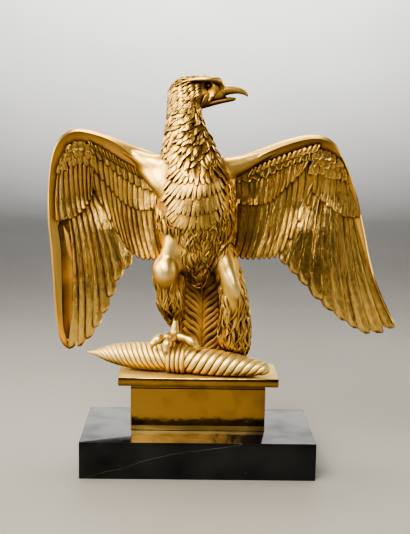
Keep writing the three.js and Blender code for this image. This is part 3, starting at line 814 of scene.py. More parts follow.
# How the feathers of each row stand off the wing's plan: their lift from root to tip, the height
# of their crown, how much one edge stands over the other, their width beside their spacing, how far
# back they reach at root and tip, their stations, how far the tip is drawn out, how far it leans to
# the outer edge, how much they waver, and whether they are set loosely.
ROW_FORMS = {
    "primaries": {
        "lift": [0.2, 0.4], "crown": 1.1, "tilt": 1.3, "wide": 1.32, "back": [0.9, 0.7],
        "steps": 15, "taper": 2.4, "skew": 0.75, "wave": 0.7,
    },
    "secondaries": {
        "lift": [0.8, 1.5], "crown": 1.1, "tilt": 1.3, "wide": 1.35, "back": [0.9, 0.5],
        "steps": 11, "taper": 1.8, "skew": 0.5, "wave": 0.5,
    },
    "primary_coverts": {
        "lift": [1.4, 2.3], "crown": 1.0, "tilt": 0.9, "wide": 1.32, "back": [0, 0],
        "steps": 8, "taper": 1.2, "skew": 0.3, "wave": 0.15,
    },
    "coverts": {
        "lift": [2.0, 3.0], "crown": 1.0, "tilt": 0.8, "wide": 1.32, "back": [0, 0],
        "steps": 7, "taper": 1.5, "skew": 0.2, "wave": 0.2,
    },
    "low_scales": {
        "lift": [3.4, 2.9], "crown": 0.4, "tilt": 0.6, "wide": 1.35, "back": [0, 0],
        "steps": 3, "taper": 1.8, "skew": -0.5, "wave": 0.1, "loose": 1,
    },
    "middle_coverts": {
        "lift": [3.1, 3.5], "crown": 0.9, "tilt": 0.6, "wide": 1.3, "back": [0, 0],
        "steps": 5, "taper": 1.4, "skew": 0.2, "wave": 0.1,
    },
    "middle_scales": {
        "lift": [3.9, 3.4], "crown": 0.4, "tilt": 0.6, "wide": 1.35, "back": [0, 0],
        "steps": 3, "taper": 1.8, "skew": -0.5, "wave": 0.1, "loose": 1,
    },
    "high_scales": {
        "lift": [4.4, 3.9], "crown": 0.4, "tilt": 0.6, "wide": 1.35, "back": [0, 0],
        "steps": 3, "taper": 1.8, "skew": -0.5, "wave": 0.1, "loose": 1,
    },
    "cords": {
        "lift": [4.1, 4.0], "crown": 0.8, "tilt": 0.4, "wide": 1.2, "back": [0, 0],
        "steps": 4, "taper": 1.4, "skew": 0, "wave": 0,
    },
}
MANTLE_FORM = {
    "lift": [1.2, 2.4], "crown": 0.8, "tilt": 0.6, "wide": 1.25, "back": [0, 0],
    "steps": 6, "taper": 1.3, "skew": 0, "wave": 0,
}
# The tail's feathers, barbs and shaft are marked for painted shade, as the tail lies in shade between the
# legs.
TAIL_FORM = {
    "lift": [0.4, 0.5], "crown": 1.1, "tilt": 0.8, "wide": 1.25, "back": [1.4, 1.2],
    "steps": 8, "taper": 1.3, "skew": 0, "wave": 0.2, "mark": 2.0,
}


def wing_depth(x, z):
    """The wing's plan swings back from the shoulder to the tip and is hollow in front."""
    outward = max(abs(x + 4) - 18, 0) / 120
    shoulder = 4.5 * math.exp(-(((x + 29) / 12) ** 2)) if x < 0 else 0
    dish = 3.0 * math.exp(-(((abs(x) - 76) / 20) ** 2) - ((z - 189) / 16) ** 2)
    return 3 + 9 * outward**1.4 + 2.5 * math.exp(-(((z - 178) / 38) ** 2)) + dish - shoulder


def tail_depth(x, z):
    return 16 - 0.05 * (141 - z) + 0.007 * (x - 2) ** 2


def plan_point(row, t, v):
    """A point in the plan of a row of feathers: t across the row, v from root to tip."""
    root, tip = along(row["roots"], t), along(row["tips"], t)
    side = np.array([root[1] - tip[1], tip[0] - root[0]])
    return mix(root, tip, v) + 4 * v * (1 - v) * row["bow"] * side


def quill(casting, row, i, form, depth, facing=-1, hand=1, share=(0.0, 1.0), section=BROAD):
    """One feather of a row. It faces the front at -1 and the back at +1, and its tip is rounded and
    leans towards the wing's outer edge, which is to the right for a hand of 1."""
    count = row["count"]
    loose = form.get("loose", 0)
    t = (i + 0.5 + loose * chance.uniform(-0.3, 0.3)) / count
    low, high = share[0], share[1] - loose * chance.uniform(0, 0.2)
    length = np.linalg.norm(plan_point(row, t, high) - plan_point(row, t, low))
    tip_steps = 4
    slant = hand * chance.uniform(0.4, 1.6)
    flip = form.get("flip", 0)
    phase = chance.uniform(0, 6.28)

    def spacing(v):
        ahead = unit(plan_point(row, t, v + 0.02) - plan_point(row, t, v - 0.02))
        gap = plan_point(row, t + 0.5 / count, v) - plan_point(row, t - 0.5 / count, v)
        return ahead, abs(ahead[0] * gap[1] - ahead[1] * gap[0])

    half_tip = 0.5 * form["wide"] * spacing(high)[1]
    bend = 1 - min(0.45, form["taper"] * half_tip / length)
    stations = [(bend * k / form["steps"], 1.0) for k in range(form["steps"])]
    for k in range(tip_steps + 1):
        turn = math.radians(86 * k / tip_steps)
        stations.append((bend + (1 - bend) * math.sin(turn), math.cos(turn)))
    rings = []
    for s, narrow in stations:
        v = mix(low, high, s)
        ahead, wide = spacing(v)
        full = 0.5 * form["wide"] * wide * min(1.0, 0.7 + 1.5 * s)
        half = full * narrow
        side = np.array([ahead[1], -ahead[0]]) * facing
        middle = plan_point(row, t, v) - side * facing * hand * form["skew"] * (full - half)
        lift = mix(form["lift"][0], form["lift"][1], s) + form["wave"] * math.sin(5 * s + phase)
        lift += flip * max(0.0, (s - 0.7) / 0.3) ** 1.4
        ring = []
        for u, h in section["around"]:
            x, z = middle + side * u * half
            slim = min(1.0, 0.35 + half / 1.6)
            out = lift + form["crown"] * h * slim + 0.5 * form["tilt"] * slant * u * narrow
            ring.append([x, depth(x, z) + facing * out, z])
        under = mix(form["back"][0], form["back"][1], s)
        for u in section["under"]:
            x, z = middle + side * u * half
            belly = under * (1.25 if u == 0 else 0.7) if under else 0.9 - lift
            ring.append([x, depth(x, z) - facing * belly, z])
        rings.append(ring)
    across = [u for u, _ in section["around"]] + section["under"]
    casting.skin(rings, across, [s * length for s, _ in stations], mark=form.get("mark", 1.0))


def wing_ground(casting, form):
    """The thin plate behind the feathers, between the arm and the middle of the wing."""
    rings = []
    steps = 24
    for i in range(steps + 1):
        t = i / steps
        top, low = along(form["arm"], 0.72 * t)[:2], along(form["web"], t)
        front, rear = [], []
        for k in range(7):
            x, z = mix(top, low, k / 6)
            front.append([x, wing_depth(x, z) - 0.2, z])
            rear.append([x, wing_depth(x, z) + 1.4, z])
        rings.append(front + rear[::-1])
    casting.skin(rings)


def wing_arm(casting, arm, hand):
    """The leading edge, polished on top up to a crest, then a plain hollow band down to the
    feathers."""
    rings = []
    steps = 66
    for i in range(steps + 1):
        t = i / steps
        x, z, r, crest, reach = along(arm, t)
        ahead = along(arm, t + 0.008)[:2] - along(arm, t - 0.008)[:2]
        inward = hand * unit(np.array([ahead[1], -ahead[0]]))
        section = [(reach, -0.35), (0.3, -0.85), (-0.5, -0.8), (-0.9, -0.45), (-1, -0.05)]
        section += [(mix(-1, crest, u), u**0.75) for u in (0.1, 0.25, 0.45, 0.7, 0.9)]
        band = ((0, 1), (0.06, 0.9), (0.3, 0.55), (0.6, 0.3), (1, 0.06))
        section += [(mix(crest, reach, f), b) for f, b in band]
        ring = []
        for a, b in section:
            px, pz = np.array([x, z]) + inward * a * r
            ring.append([px, wing_depth(x, z) - 0.3 * r - b * (0.6 * r + 1.1), pz])
        rings.append(ring)
    casting.skin(rings)


def wing(casting, form, hand):
    """One wing: hand is 1 on the viewer's right and -1 on the left."""
    wing_ground(casting, form)
    wing_arm(casting, form["arm"], hand)
    for name, shape in ROW_FORMS.items():
        row = form[name]
        for i in range(row["count"]):
            section, laid = BROAD, shape
            if name == "coverts" and hand < 0 and i < 4:
                laid, section = dict(shape, lift=[1.5, 5.4 - 0.6 * i]), FLUTED
            elif name == "coverts" and hand > 0 and 0 < i < 5:
                laid = dict(shape, flip=chance.uniform(0.3, 1.0))
            elif name == "primary_coverts" and i < 5:
                laid = dict(shape, flip=chance.uniform(0.2, 1.0) * (1 if hand > 0 else 1.7))
            elif "scales" in name:
                low, high = shape["lift"]
                laid = dict(shape, lift=[low, high + chance.uniform(-0.4, 0.5)])
            quill(casting, row, i, laid, wing_depth, hand=hand, section=section)
    for k, share in enumerate([(0.5, 1.0), (0.0, 0.62)]):
        tier = dict(MANTLE_FORM, lift=[1.0 + 0.7 * k, 2.0 + 0.8 * k])
        for i in range(form["back_coverts"]["count"]):
            quill(casting, form["back_coverts"], i, tier, wing_depth, facing=1, hand=hand, share=share)


def left_hollow(casting):
    """The deep groove between the left wing's outer edge and its first long feather, and the small
    pointed feather that rises out of it."""
    depth, floor_half, wall = 5.6, 1.4, 1.4
    rings = []
    for x, z, inner in LEFT_HOLLOW:
        y = wing_depth(x, z)
        middle = mix(x, inner, 0.55)
        rings.append([
            [x, y + 0.6, z], [middle - floor_half, y + depth, z], [middle + floor_half, y + depth, z],
            [inner, y + 0.8, z], [inner + 1, y + 3, z], [middle, y + depth + wall, z], [x + 1, y + 3, z],
        ])
    # The groove and its small feather are marked for painted shade.
    casting.skin(rings, mark=2.0)
    rows = [[x, wing_depth(x, z) + y, z, half, depth] for x, y, z, half, depth in HOLLOW_BLADE]
    casting.skin(limb(rows, sides=10, steps=16, across=(0.97, -0.2, 0)), mark=2.0)


def tail(casting):
    """Broad tail feathers under a middle feather whose wavy barbs rise from the shaft."""
    for i in range(TAIL["count"]):
        quill(casting, TAIL, i, TAIL_FORM, tail_depth, hand=1 if i < 4 else -1)
    middle = 2
    vane = [[middle, tail_depth(middle, z) - 0.6, z, half, VANE_CROWN] for z, half in VANE]
    # The middle feather, its barbs and its shaft are marked for painted shade too.
    casting.skin(limb(vane, sides=24, steps=24), mark=2.0)
    for side in (-1, 1):
        for k in range(BARBS):
            z = mix(*BARB_HEIGHTS, k / (BARBS - 1)) + chance.uniform(-1.1, 1.1)
            reach = 10.5 + 0.05 * (134 - z)
            sway = chance.uniform(0.6, 1.6)
            rows = []
            for s in (0, 0.25, 0.5, 0.75, 1):
                high = z + 1.15 * reach * s**0.85 + sway * math.sin(6 * s)
                girth = 2.6 * (1 - 0.35 * s)
                crown = VANE_CROWN * math.sqrt(1 - min(reach * s / 13.5, 1) ** 2)
                y = tail_depth(middle, high) - 0.75 - crown
                rows.append([middle + side * reach * s, y, high, girth, 0.28 * girth])
            casting.skin(limb(rows, sides=8, steps=7, across=(0, 0, 1)), mark=2.0)
    shaft = [[middle, tail_depth(middle, z) - 2.3, z, 1.1, 0.9] for z in (130, 110, 90, 70)]
    casting.skin(limb(shaft, sides=8, steps=12), mark=2.0)


# Eagle: head, legs and feet

UPPER_BEAK = [
    [2.4, -1.5, 262.6, 3.4, 4.4], [6.6, -1.5, 263.4, 5.2, 5.0], [10.8, -1.5, 264.8, 5.6, 5.0],
    [14, -1.5, 266.3, 4.1, 3.9], [18, -1.5, 267, 3.4, 3.3], [22, -1.5, 267, 2.8, 2.7],
    [26, -1.5, 266.3, 2.1, 2.1], [29, -1.5, 265, 1.5, 1.5], [30.8, -1.5, 263.6, 0.9, 0.9],
    [31.4, -1.5, 262.6, 0.35, 0.4],
]
CERE = [[12.6, -1.5, 266.2, 4.9, 4.6], [14.2, -1.5, 266.7, 4.6, 4.3], [15.6, -1.5, 266.9, 3.3, 3.2]]
LOWER_BEAK = [
    [-2, -1.5, 255.9, 2.8, 6.4], [4, -1.5, 257.1, 2.2, 5.2], [9, -1.5, 258.5, 2.1, 4.2],
    [15, -1.5, 259.8, 1.9, 3.2], [20, -1.5, 260.5, 1.5, 2.1], [22.4, -1.5, 260.8, 0.9, 1.2],
    [23.2, -1.5, 260.8, 0.3, 0.4],
]
TONGUE = [
    [2, -1.5, 259, 1.2, 3], [8, -1.5, 260.8, 1.1, 2.6], [13, -1.5, 262, 0.8, 2], [16.6, -1.5, 262.2, 0.4, 1],
]

# Forms on both sides of the head, whose y is their distance out from its middle plane. The brow
# is a limb. The sockets round the eye, the bare lore and the cheek are dents: a centre, a reach,
# an aim and a depth.
BROW = [
    [-13, 6.6, 272.0, 0.9, 0.7], [-6, 8.6, 273.2, 2.0, 1.3], [0, 9.5, 273.5, 2.6, 1.7],
    [6, 8.9, 273.6, 2.8, 1.9], [10, 6.6, 272.9, 2.6, 2.3], [12, 4.4, 271, 2.2, 2.0],
    [12.4, 3.4, 267.6, 1.5, 1.5],
]
EYE = [4.2, 4.6, 269.6]
EYE_RADIUS = 1.6
# The dents are painted with shade as well, by the core's marks.
SOCKETS = [
    ([3.4, 9.4, 269.2], 5.6, [-0.05, -1, 0.1], 5.4),
    ([5.6, 8.6, 265.4], 4.8, [-0.2, -1, 0], 3.8),
    ([3.4, 8.6, 261.6], 4.6, [0.1, -1, 0], 2.2),
    ([-4, 9.6, 262], 6, [0, 1, 0], 0.9),
]


def on_side(row, hand):
    """A row of one side of the head, from its distance out from the middle plane."""
    return [row[0], HEAD_MIDDLE + hand * row[1], *row[2:]]


def ball(middle, radius, sides=18, steps=10):
    turns = 2 * np.pi * np.arange(sides) / sides
    rings = []
    for k in range(steps + 1):
        turn = math.pi * mix(0.02, 0.98, k / steps)
        girth = radius * math.sin(turn)
        x = np.full(sides, middle[0] - radius * math.cos(turn))
        y, z = middle[1] + girth * np.cos(turns), middle[2] + girth * np.sin(turns)
        rings.append(np.stack([x, y, z], axis=1))
    return np.array(rings)


def head(casting, dents):
    upright = (0, 0, 1)
    beak = limb(UPPER_BEAK, sides=24, steps=44, across=upright)
    casting.skin(dented(beak.reshape(-1, 3), dents).reshape(beak.shape))
    casting.skin(limb(CERE, sides=18, steps=8, across=upright))
    # The lower beak and the tongue are marked for painted shade, the mouth's inside.
    casting.skin(limb(LOWER_BEAK, sides=14, steps=20, across=upright), mark=1.8)
    casting.skin(limb(TONGUE, sides=10, steps=12, across=upright), mark=2.0)
    for hand in (-1, 1):
        brow = [on_side(row, hand) for row in BROW]
        casting.skin(limb(brow, sides=14, steps=28, across=(0, 1, 0), flat=2.6))
        # The eye is marked for painted shade under the brow.
        casting.skin(ball(on_side(EYE, hand), EYE_RADIUS), mark=1.4)


FEET = {
    "left": {
        "shank": [
            [-17.4, -6, 121, 1.6, 1.6], [-17, -8.6, 111, 2.3, 2.4], [-17, -10.6, 103, 2.3, 2.5],
            [-17.2, -11, 94, 3.8, 3.6],
        ],
        "toes": [
            [[-17, -10, 94.2, 3.4, 3.2], [-23, -12, 94, 3.0, 2.9], [-29, -13.6, 92.4, 3.2, 3.1],
             [-32.6, -14.8, 89.4, 2.3, 2.2], [-33.4, -15, 85.8, 0.6, 0.6]],
            [[-17, -10, 94.2, 3.4, 3.2], [-20, -14.8, 93.4, 3.1, 2.9], [-22.2, -18.2, 90.4, 3.1, 3.0],
             [-23, -19.8, 86, 2.1, 2.0], [-22.6, -19.2, 82.4, 0.6, 0.6]],
            [[-17, -10, 94.2, 3.4, 3.2], [-10.6, -12.4, 94, 3.0, 2.9], [-4.8, -14.2, 91.4, 3.2, 3.1],
             [-1.4, -15.4, 87.6, 2.2, 2.1], [-1.6, -15.4, 84.2, 0.6, 0.6]],
            [[-17.2, -6, 93, 2.4, 2.2], [-16.4, -1, 91.6, 2.1, 2], [-15.4, 3.4, 87.4, 1.9, 1.8],
             [-15, 4.6, 83, 0.4, 0.4]],
        ],
    },
    "right": {
        "shank": [[27.6, 0, 84, 3, 3], [28, 1, 75, 3, 3], [28, 1, 69.6, 3.4, 3.6]],
        "toes": [
            [[28, 1, 70.6, 2.8, 2.4], [35, -2, 70, 2.3, 2.1], [41, -5, 69.2, 2, 1.8],
             [45, -7, 67.8, 0.4, 0.4]],
            [[28, 1, 70.6, 2.8, 2.4], [22.5, 0.4, 70, 2.3, 2.1], [17, 0.6, 69.2, 2, 1.8],
             [13, 1.4, 67.8, 0.4, 0.4]],
            [[28, 2, 70.6, 2.8, 2.4], [29.4, 8, 70, 2.2, 2], [30.6, 13, 69.2, 1.9, 1.8],
             [31, 16.4, 67.8, 0.4, 0.4]],
        ],
    },
}


def scaly(t):
    return 1 + 0.09 * abs(math.sin(24 * t))


def knuckled(t):
    claw = max(0.0, (t - 0.72) / 0.28)
    return 1 + 0.24 * (abs(math.sin(9.4 * t)) - 0.55) * (1 - claw) - 0.15 * claw


def foot(casting, form):
    """A scaly shank and knuckled toes, each ending in a smooth claw."""
    casting.skin(limb(form["shank"], sides=14, steps=24, swell=scaly), mark=-0.6)
    for rows in form["toes"]:
        casting.skin(limb(rows, sides=12, steps=32, swell=knuckled), mark=-0.7)


def eagle_core():
    """The eagle without its feathers, blended from limbs."""
    skins = [
        limb(TRUNK, sides=32, steps=40), limb(RUMP, sides=24, steps=16),
        limb(SKULL, sides=24, steps=20, across=(0, 0, 1)),
        limb(LEFT_LEG, sides=20, steps=24), limb(RIGHT_LEG, sides=20, steps=28),
        limb(LEFT_KNEE, sides=20, steps=16), limb(RIGHT_KNEE, sides=20, steps=16),
        limb(SHOULDER, sides=20, steps=16, across=(0.6, 0, 0.8)),
    ]
    skins += [limb(rows, sides=16) for rows in FLANKS]
    for form in WINGS.values():
        rows = []
        for (x, z, radius, _, _), stout in zip(form["arm"], ARM_CORE):
            rows.append([x, wing_depth(x, z) - 0.3 * radius, z, radius * stout, radius * stout])
        skins.append(limb(rows, sides=20, steps=16, across=(0, 1, 0)))
    return blended(skins, CORE_VOXEL, CORE_SMOOTHING, "body_under_feathers")


def core_marks(points, dents):
    """The marks of the core's points: painted shade, darker and duller, in the dents round the eye, the lore
    and the cheek, and a painted highlight, paler, on the knees and thighs.
    """
    marks = np.zeros((len(points), 3))
    for centre, reach, _, depth in dents:
        away = np.linalg.norm(points - np.array(centre), axis=1) / (1.15 * reach)
        marks[:, 2] = np.maximum(marks[:, 2], np.clip(1 - away**2, 0, 1) * min(depth, 3.4) * 0.8)
    for centre, reach in PAINTED_HIGHLIGHTS:
        away = np.linalg.norm(points - np.array(centre), axis=1) / reach
        marks[:, 2] = np.minimum(marks[:, 2], -np.clip(1 - away**2, 0, 1))
    return marks


def eagle(finish):
    cast = Casting()
    dents = []
    for hand in (-1, 1):
        for centre, reach, aim, depth in SOCKETS:
            dents.append((on_side(centre, hand), reach, [aim[0], hand * aim[1], aim[2]], depth))
    points, faces = eagle_core()
    points = dented(points, dents)
    cast.add(points, faces, core_marks(points, dents))
    body = Body(points, faces)
    trunk_feathers(cast, body)
    head_feathers(cast, body)
    leg_feathers(cast, body, LEFT_LEG, LEFT_TIERS)
    leg_feathers(cast, body, RIGHT_LEG, RIGHT_TIERS)
    for side, form in WINGS.items():
        wing(cast, form, 1 if side == "right" else -1)
    left_hollow(cast)
    tail(cast)
    head(cast, dents)
    for form in FEET.values():
        foot(cast, form)
    return cast.piece("eagle", finish, sharp=52)


# Finishes

class Shade:
    """A socket of a finish; sums of shades add their Math nodes."""

    def __init__(self, finish, socket):
        self.finish = finish
        self.socket = socket

    def sum(self, operation, first, second):
        return self.finish.node("ShaderNodeMath", {"operation": operation}, {0: first, 1: second})

    def __add__(self, other):
        return self.sum("ADD", self, other)

    def __sub__(self, other):
        return self.sum("SUBTRACT", self, other)

    def __mul__(self, other):
        return self.sum("MULTIPLY", self, other)

    def __pow__(self, other):
        return self.sum("POWER", self, other)

    def __rsub__(self, other):
        return self.sum("SUBTRACT", other, self)

    __radd__ = __add__
    __rmul__ = __mul__

    def clamped(self, low, high):
        return self.sum("MINIMUM", self.sum("MAXIMUM", self, low), high)


class Finish:
    """A procedural finish on a Principled shader."""

    def __init__(self, name, **settings):
        self.material = bpy.data.materials.new(name)
        self.material.use_nodes = True
        self.tree = self.material.node_tree
        self.shader = self.tree.nodes["Principled BSDF"]
        for socket, value in settings.items():
            self.shader.inputs[socket.replace("_", " ").title()].default_value = value

    def node(self, kind, settings=None, sockets=None, output=0):
        node = self.tree.nodes.new(kind)
        for name, value in (settings or {}).items():
            if name == "stops":
                while len(node.color_ramp.elements) < len(value):
                    node.color_ramp.elements.new(1.0)
                for element, (place, colour) in zip(node.color_ramp.elements, value):
                    element.position = place
                    element.color = (*colour, 1)
            else:
                setattr(node, name, value)
        for name, value in (sockets or {}).items():
            self.feed(node.inputs[name], value)
        return Shade(self, node.outputs[output])

    def feed(self, socket, value):
        if isinstance(value, Shade):
            self.tree.links.new(value.socket, socket)
        else:
            socket.default_value = value

    def set(self, name, value):
        self.feed(self.shader.inputs[name], value)

    def place(self):
        return self.node("ShaderNodeTexCoord", output="Object")

    def noise(self, scale, detail=3.0, place=None, output=0):
        sockets = {"Vector": place or self.place(), "Scale": scale, "Detail": detail}
        return self.node("ShaderNodeTexNoise", sockets=sockets, output=output)

    def ramp(self, factor, stops):
        return self.node("ShaderNodeValToRGB", {"stops": stops}, {"Fac": factor})

    def blend(self, share, first, second):
        """The first colour, with a share of the second."""
        sockets = {0: share, 6: first, 7: second}
        return self.node("ShaderNodeMix", {"data_type": "RGBA"}, sockets, output=2)

    def parts(self, vector):
        """The three parts of a vector."""
        split = self.node("ShaderNodeSeparateXYZ", sockets={"Vector": vector}).socket.node
        return [Shade(self, output) for output in split.outputs]

    def bump(self, height, strength, distance):
        self.set("Normal", self.node(
            "ShaderNodeBump", sockets={"Height": height, "Strength": strength, "Distance": distance}
        ))


# Tones of the gilding, from the darkest painted shade deep in the recesses at 0 to the open crests at 1.
BRIGHT_GILT = [
    (0.0, (0.065, 0.035, 0.018)), (0.4, (0.255, 0.15, 0.066)), (0.75, (0.70, 0.42, 0.125)),
    (1.0, (0.94, 0.66, 0.25)),
]
PALE_GILT = [
    (0.0, (0.10, 0.05, 0.014)), (0.35, (0.46, 0.28, 0.09)), (0.65, (0.86, 0.61, 0.235)),
    (1.0, (0.97, 0.78, 0.37)),
]
DEEP_GILT = [
    (0.0, (0.03, 0.012, 0.003)), (0.35, (0.08, 0.04, 0.011)), (0.65, (0.165, 0.092, 0.03)),
    (1.0, (0.40, 0.24, 0.075)),
]

# The heights, in metres, under which the plinth's foot is painted lighter, a painted reflection of the marble
# top, and over which its top is rougher and paler.
PLINTH_BANDS = ((PLINTH_FOOT + 4.1) * MM, (PLINTH_TOP - 0.5) * MM)


def gilt_finish(name, tones, polish, painted_shade_reach, waver, barbs=0, clouding=0.22, bands=None):
    """Fire-gilt bronze: bright on the raised forms, and brown and duller in the recesses out to the
    given reach in metres, which is painted shade, partly a darker patina; surfaces that face down and
    feathers marked over 1 get painted shade too. Polish is its least roughness. The surface wavers a
    little, as hand burnishing leaves it, and feathers are streaked along their length by barbs. The
    clouding varies its tone from place to place. Bands make the plinth's foot lighter, a painted
    reflection of the marble top, and its top rougher and paler; marks under 0 blend in a paler colour,
    a painted highlight on the knees and thighs and a matt pale finish on the feet."""
    gilt = Finish(name, metallic=1.0)
    # Ambient occlusion paints shade into the recesses, partly standing for a darker patina there.
    recess_painted_shade = gilt.node(
        "ShaderNodeAmbientOcclusion", {"samples": 6, "only_local": False}, {"Distance": painted_shade_reach}, "AO"
    )
    clouds = gilt.noise(48, 4)
    worn = gilt.noise(45, 3) - 0.5
    grain = gilt.noise(900, 2)
    upward = gilt.parts(gilt.node("ShaderNodeNewGeometry", output="Normal"))[2]
    # Surfaces that face down are painted darker: painted shade.
    under = (upward * -1.7 - 0.1).clamped(0, 1)
    painted_light_and_tone = recess_painted_shade ** 1.3 + (clouds - 0.5) * clouding - under * 0.75
    height = gilt.noise(85, 2) * waver + gilt.noise(330, 3) * 0.05 + grain * 0.02
    satin = None
    if barbs:
        mark = gilt.node("ShaderNodeAttribute", {"attribute_name": "feather"}, output="Vector")
        across, down, kind = gilt.parts(mark)
        along_it = gilt.node("ShaderNodeCombineXYZ", sockets={"X": across * 2.4, "Y": down * 0.11})
        spread = gilt.node("ShaderNodeVectorMath", {"operation": "SCALE"}, {0: gilt.place(), "Scale": 22})
        streak = gilt.node("ShaderNodeVectorMath", {"operation": "ADD"}, {0: along_it, 1: spread})
        fibres = gilt.noise(1.6, 3, streak)
        feathered = kind.clamped(0, 1)
        soft = feathered * (1 - feathered)
        # Marks over 1 are painted shade, darker and rougher, in the mouth, the eye and its sockets, the tail
        # and the left wing's groove.
        dull_painted_shade = (kind - 1).clamped(0, 1)
        # Marks under 0 blend in a paler colour and raise the roughness: a painted highlight on the knees and
        # thighs, a matt pale finish on the feet.
        satin = (kind * -1).clamped(0, 1)
        height = height + fibres * feathered * barbs
        painted_light_and_tone = painted_light_and_tone + (fibres - 0.52) * feathered * 1.1 - dull_painted_shade * 0.42 - soft * 0.24
        polish = (1 - feathered) * 0.22 + dull_painted_shade * 0.3 + polish
    if bands:
        painted_reflection_below, satin_above = bands
        high = gilt.parts(gilt.place())[2]
        # Under the lower height the plinth is painted lighter and paler, a painted reflection of the marble
        # top; over the upper height it is rougher and paler.
        foot = ((painted_reflection_below - high) * 1500).clamped(0, 1)
        satin = ((high - satin_above) * 2000).clamped(0, 1) + foot * 0.4
        painted_light_and_tone = painted_light_and_tone + foot * 0.5
        polish = satin * 0.5 + polish
    painted_light_and_tone = painted_light_and_tone.clamped(0, 1)
    colour = gilt.ramp(painted_light_and_tone, tones)
    if satin:
        colour = gilt.blend(satin * 0.85, colour, gilt.ramp(painted_light_and_tone * 0.75 + 0.25, PALE_GILT))
    gilt.set("Base Color", colour)
    roughness = polish + (1 - painted_light_and_tone) * 0.25 + worn * 0.16 + (grain - 0.5) * 0.06
    gilt.set("Roughness", roughness.clamped(0.05, 0.9))
    gilt.bump(height, 1.0, 0.0006)
    return gilt.material


# The marble's vein, a thin sheet through the block: its slope to the side and to the back, its
# height over the middle and half its thickness, in metres.
VEIN_SLOPE = 0.24
VEIN_LEAN = 0.6
VEIN_LEVEL = 0.0457
VEIN_HALF = 0.00026


def marble_finish():
    """Polished black marble with a fine white vein and small flecks, its polish cloudy in places."""
    stone = Finish("black marble", coat_roughness=0.16)
    stone.set("Coat IOR", 1.34)
    stone.set("Specular IOR Level", 0.1)
    place = stone.place()
    warp = stone.noise(9.0, 5.0, place, output=1)
    bent = stone.node("ShaderNodeMix", {"data_type": "VECTOR"}, {0: 0.026, 4: place, 5: warp}, output=1)
    x, y, z = stone.parts(bent)
    off_sheet = z - x * VEIN_SLOPE - y * VEIN_LEAN - VEIN_LEVEL
    away = stone.node("ShaderNodeMath", {"operation": "ABSOLUTE"}, {0: off_sheet})
    vein = (1 - away * (1 / VEIN_HALF)).clamped(0, 1) * (stone.noise(34) * 3.2 - 1.0).clamped(0, 1)
    cell = stone.node("ShaderNodeTexVoronoi", sockets={"Vector": place, "Scale": 170.0}, output="Distance")
    fleck = (1 - cell * 7.5).clamped(0, 1) * (stone.noise(60, 2) * 5 - 2.9).clamped(0, 1)
    white = (vein * 0.17 + fleck * 0.5).clamped(0, 1)
    ground = stone.ramp(stone.noise(22, 5), [(0.3, (0.006, 0.006, 0.007)), (0.75, (0.016, 0.016, 0.018))])
    stone.set("Base Color", stone.blend(white, ground, (0.72, 0.72, 0.70, 1)))
    stone.set("Coat Weight", (stone.noise(45, 7) * 2.4 - 0.3).clamped(0.35, 1))
    stone.set("Roughness", 0.09 + white * 0.15 + (stone.noise(130, 2) - 0.5) * 0.05)
    stone.bump(stone.noise(70, 4), 0.12, 0.0004)
    return stone.material


# Studio

def camera():
    """The photograph's camera, 703 mm in front and a little above, 410 by 534 pixels."""
    focal_pixels, image_height = 1000, 534
    pitch, turn, roll = (math.radians(a) for a in (8.78, -1.08, 0.96))
    level = Vector((-math.sin(turn), math.cos(turn), 0))
    right = Vector((math.cos(turn), math.sin(turn), 0))
    ahead = level * math.cos(pitch) - Vector((0, 0, math.sin(pitch)))
    above = Vector((0, 0, math.cos(pitch))) + level * math.sin(pitch)
    rolled_right = right * math.cos(roll) + above * math.sin(roll)
    rolled_above = above * math.cos(roll) - right * math.sin(roll)
    data = bpy.data.cameras.new("camera")
    data.sensor_width = 36
    data.lens = focal_pixels / image_height * data.sensor_width
    data.clip_start, data.clip_end = 0.05, 20
    obj = bpy.data.objects.new("camera", data)
    obj.matrix_world = Matrix((rolled_right, rolled_above, -ahead)).transposed().to_4x4()
    obj.location = (-0.0096, -0.7033, 0.2512)
    bpy.context.scene.collection.objects.link(obj)
    bpy.context.scene.camera = obj


def softbox(name, place, aim, size, power, spread, tint):
    data = bpy.data.lights.new(name, "AREA")
    data.shape = "RECTANGLE"
    data.size, data.size_y = size
    data.energy = power
    data.spread = math.radians(spread)
    data.color = tint
    obj = bpy.data.objects.new(name, data)
    obj.location = place
    obj.rotation_mode = "QUATERNION"
    obj.rotation_quaternion = (Vector(aim) - Vector(place)).to_track_quat("-Z", "Y")
    obj.visible_camera = False
    bpy.context.scene.collection.objects.link(obj)


def floor():
    """A pale floor that curves up into a wall far off on every side."""
    level, cove, wall_top, sides, cove_steps = 1.6, 1.0, 2.6, 64, 12
    profile = [(0.0, 0.0), (0.5, 0.0), (1.0, 0.0), (level, 0.0)]
    for k in range(1, cove_steps + 1):
        turn = math.radians(90 * k / cove_steps)
        profile.append((level + cove * math.sin(turn), cove * (1 - math.cos(turn))))
    profile.append((level + cove, wall_top))
    points = [(0, 0, 0)]
    faces = []
    for radius, z in profile[1:]:
        for j in range(sides):
            turn = 2 * math.pi * j / sides
            points.append((radius * math.cos(turn), radius * math.sin(turn), z))
    for j in range(sides):
        faces.append((0, 1 + (j + 1) % sides, 1 + j))
    for i in range(len(profile) - 2):
        for j in range(sides):
            a, b = 1 + i * sides + j, 1 + i * sides + (j + 1) % sides
            faces.append((a, b, b + sides, a + sides))
    mesh = bpy.data.meshes.new("floor")
    mesh.from_pydata(points, [], faces)
    mesh.polygons.foreach_set("use_smooth", [True] * len(mesh.polygons))
    obj = bpy.data.objects.new("floor", mesh)
    bpy.context.scene.collection.objects.link(obj)
    pale = Finish("pale floor", roughness=0.6)
    greys = [(0.3, (0.37, 0.37, 0.37)), (0.7, (0.40, 0.40, 0.40))]
    pale.set("Base Color", pale.ramp(pale.noise(3, 2), greys))
    mesh.materials.append(pale.material)


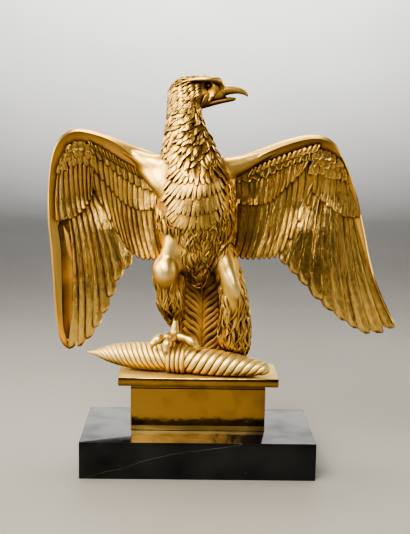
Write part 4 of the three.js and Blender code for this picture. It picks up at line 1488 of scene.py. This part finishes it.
def studio():
    world = bpy.data.worlds.new("studio")
    world.use_nodes = True
    world.node_tree.nodes["Background"].inputs["Color"].default_value = (1, 0.86, 0.70, 1)
    world.node_tree.nodes["Background"].inputs["Strength"].default_value = 0.08
    bpy.context.scene.world = world
    bpy.context.scene.view_settings.view_transform = "AgX"
    bpy.context.scene.view_settings.look = "AgX - High Contrast"
    bpy.context.scene.view_settings.exposure = 0.6
    high = (0.0, 0.02, 0.20)
    warm = (1, 0.93, 0.78)
    softbox("window", (-1.15, -0.25, 0.55), high, (0.8, 0.8), 1.2, 80, warm)
    softbox("key", (-0.5, -0.6, 1.0), high, (0.7, 0.7), 0.9, 60, warm)
    softbox("front", (-0.26, -1.30, 0.95), high, (0.9, 0.6), 0.85, 60, warm)
    softbox("overhead", (-0.05, 0.35, 1.15), high, (1.1, 0.5), 1.0, 70, warm)
    softbox("right", (1.2, -0.15, 0.5), high, (0.4, 0.8), 0.25, 80, warm)
    softbox("back left", (-1.2, 0.8, 0.36), (0, 0, 0.15), (0.5, 0.7), 0.5, 80, warm)
    softbox("back right", (1.2, 0.8, 0.36), (0, 0, 0.15), (0.5, 0.7), 0.4, 80, warm)
    softbox("low front", (-0.05, -1.3, 0.45), (-0.02, 0.3, -0.08), (0.7, 0.2), 0.035, 12, warm)
    softbox("left strip", (-1.0, -0.95, 0.3), high, (0.16, 0.6), 0.25, 80, warm)
    softbox("right strip", (1.05, -0.9, 0.3), high, (0.12, 0.6), 0.06, 80, warm)
    softbox("near floor", (-0.6, -1.8, 1.3), (-0.52, -0.9, 0), (1.0, 0.4), 2.0, 46, (1, 0.86, 0.62))
    softbox("wall", (0, 1.9, 1.6), (0, 2.6, 0.85), (2.2, 0.3), 23, 110, (1, 0.99, 0.97))


camera()
studio()
floor()
marble_base(marble_finish())
plinth(gilt_finish(
    "burnished plinth", DEEP_GILT, polish=0.13, painted_shade_reach=0.002, waver=0.5, clouding=0.8, bands=PLINTH_BANDS
))
thunderbolt(gilt_finish("gilt thunderbolt", PALE_GILT, polish=0.46, painted_shade_reach=0.0018, waver=0.3))
eagle(gilt_finish("gilt feathers", BRIGHT_GILT, polish=0.16, painted_shade_reach=0.003, waver=0.5, barbs=0.8))
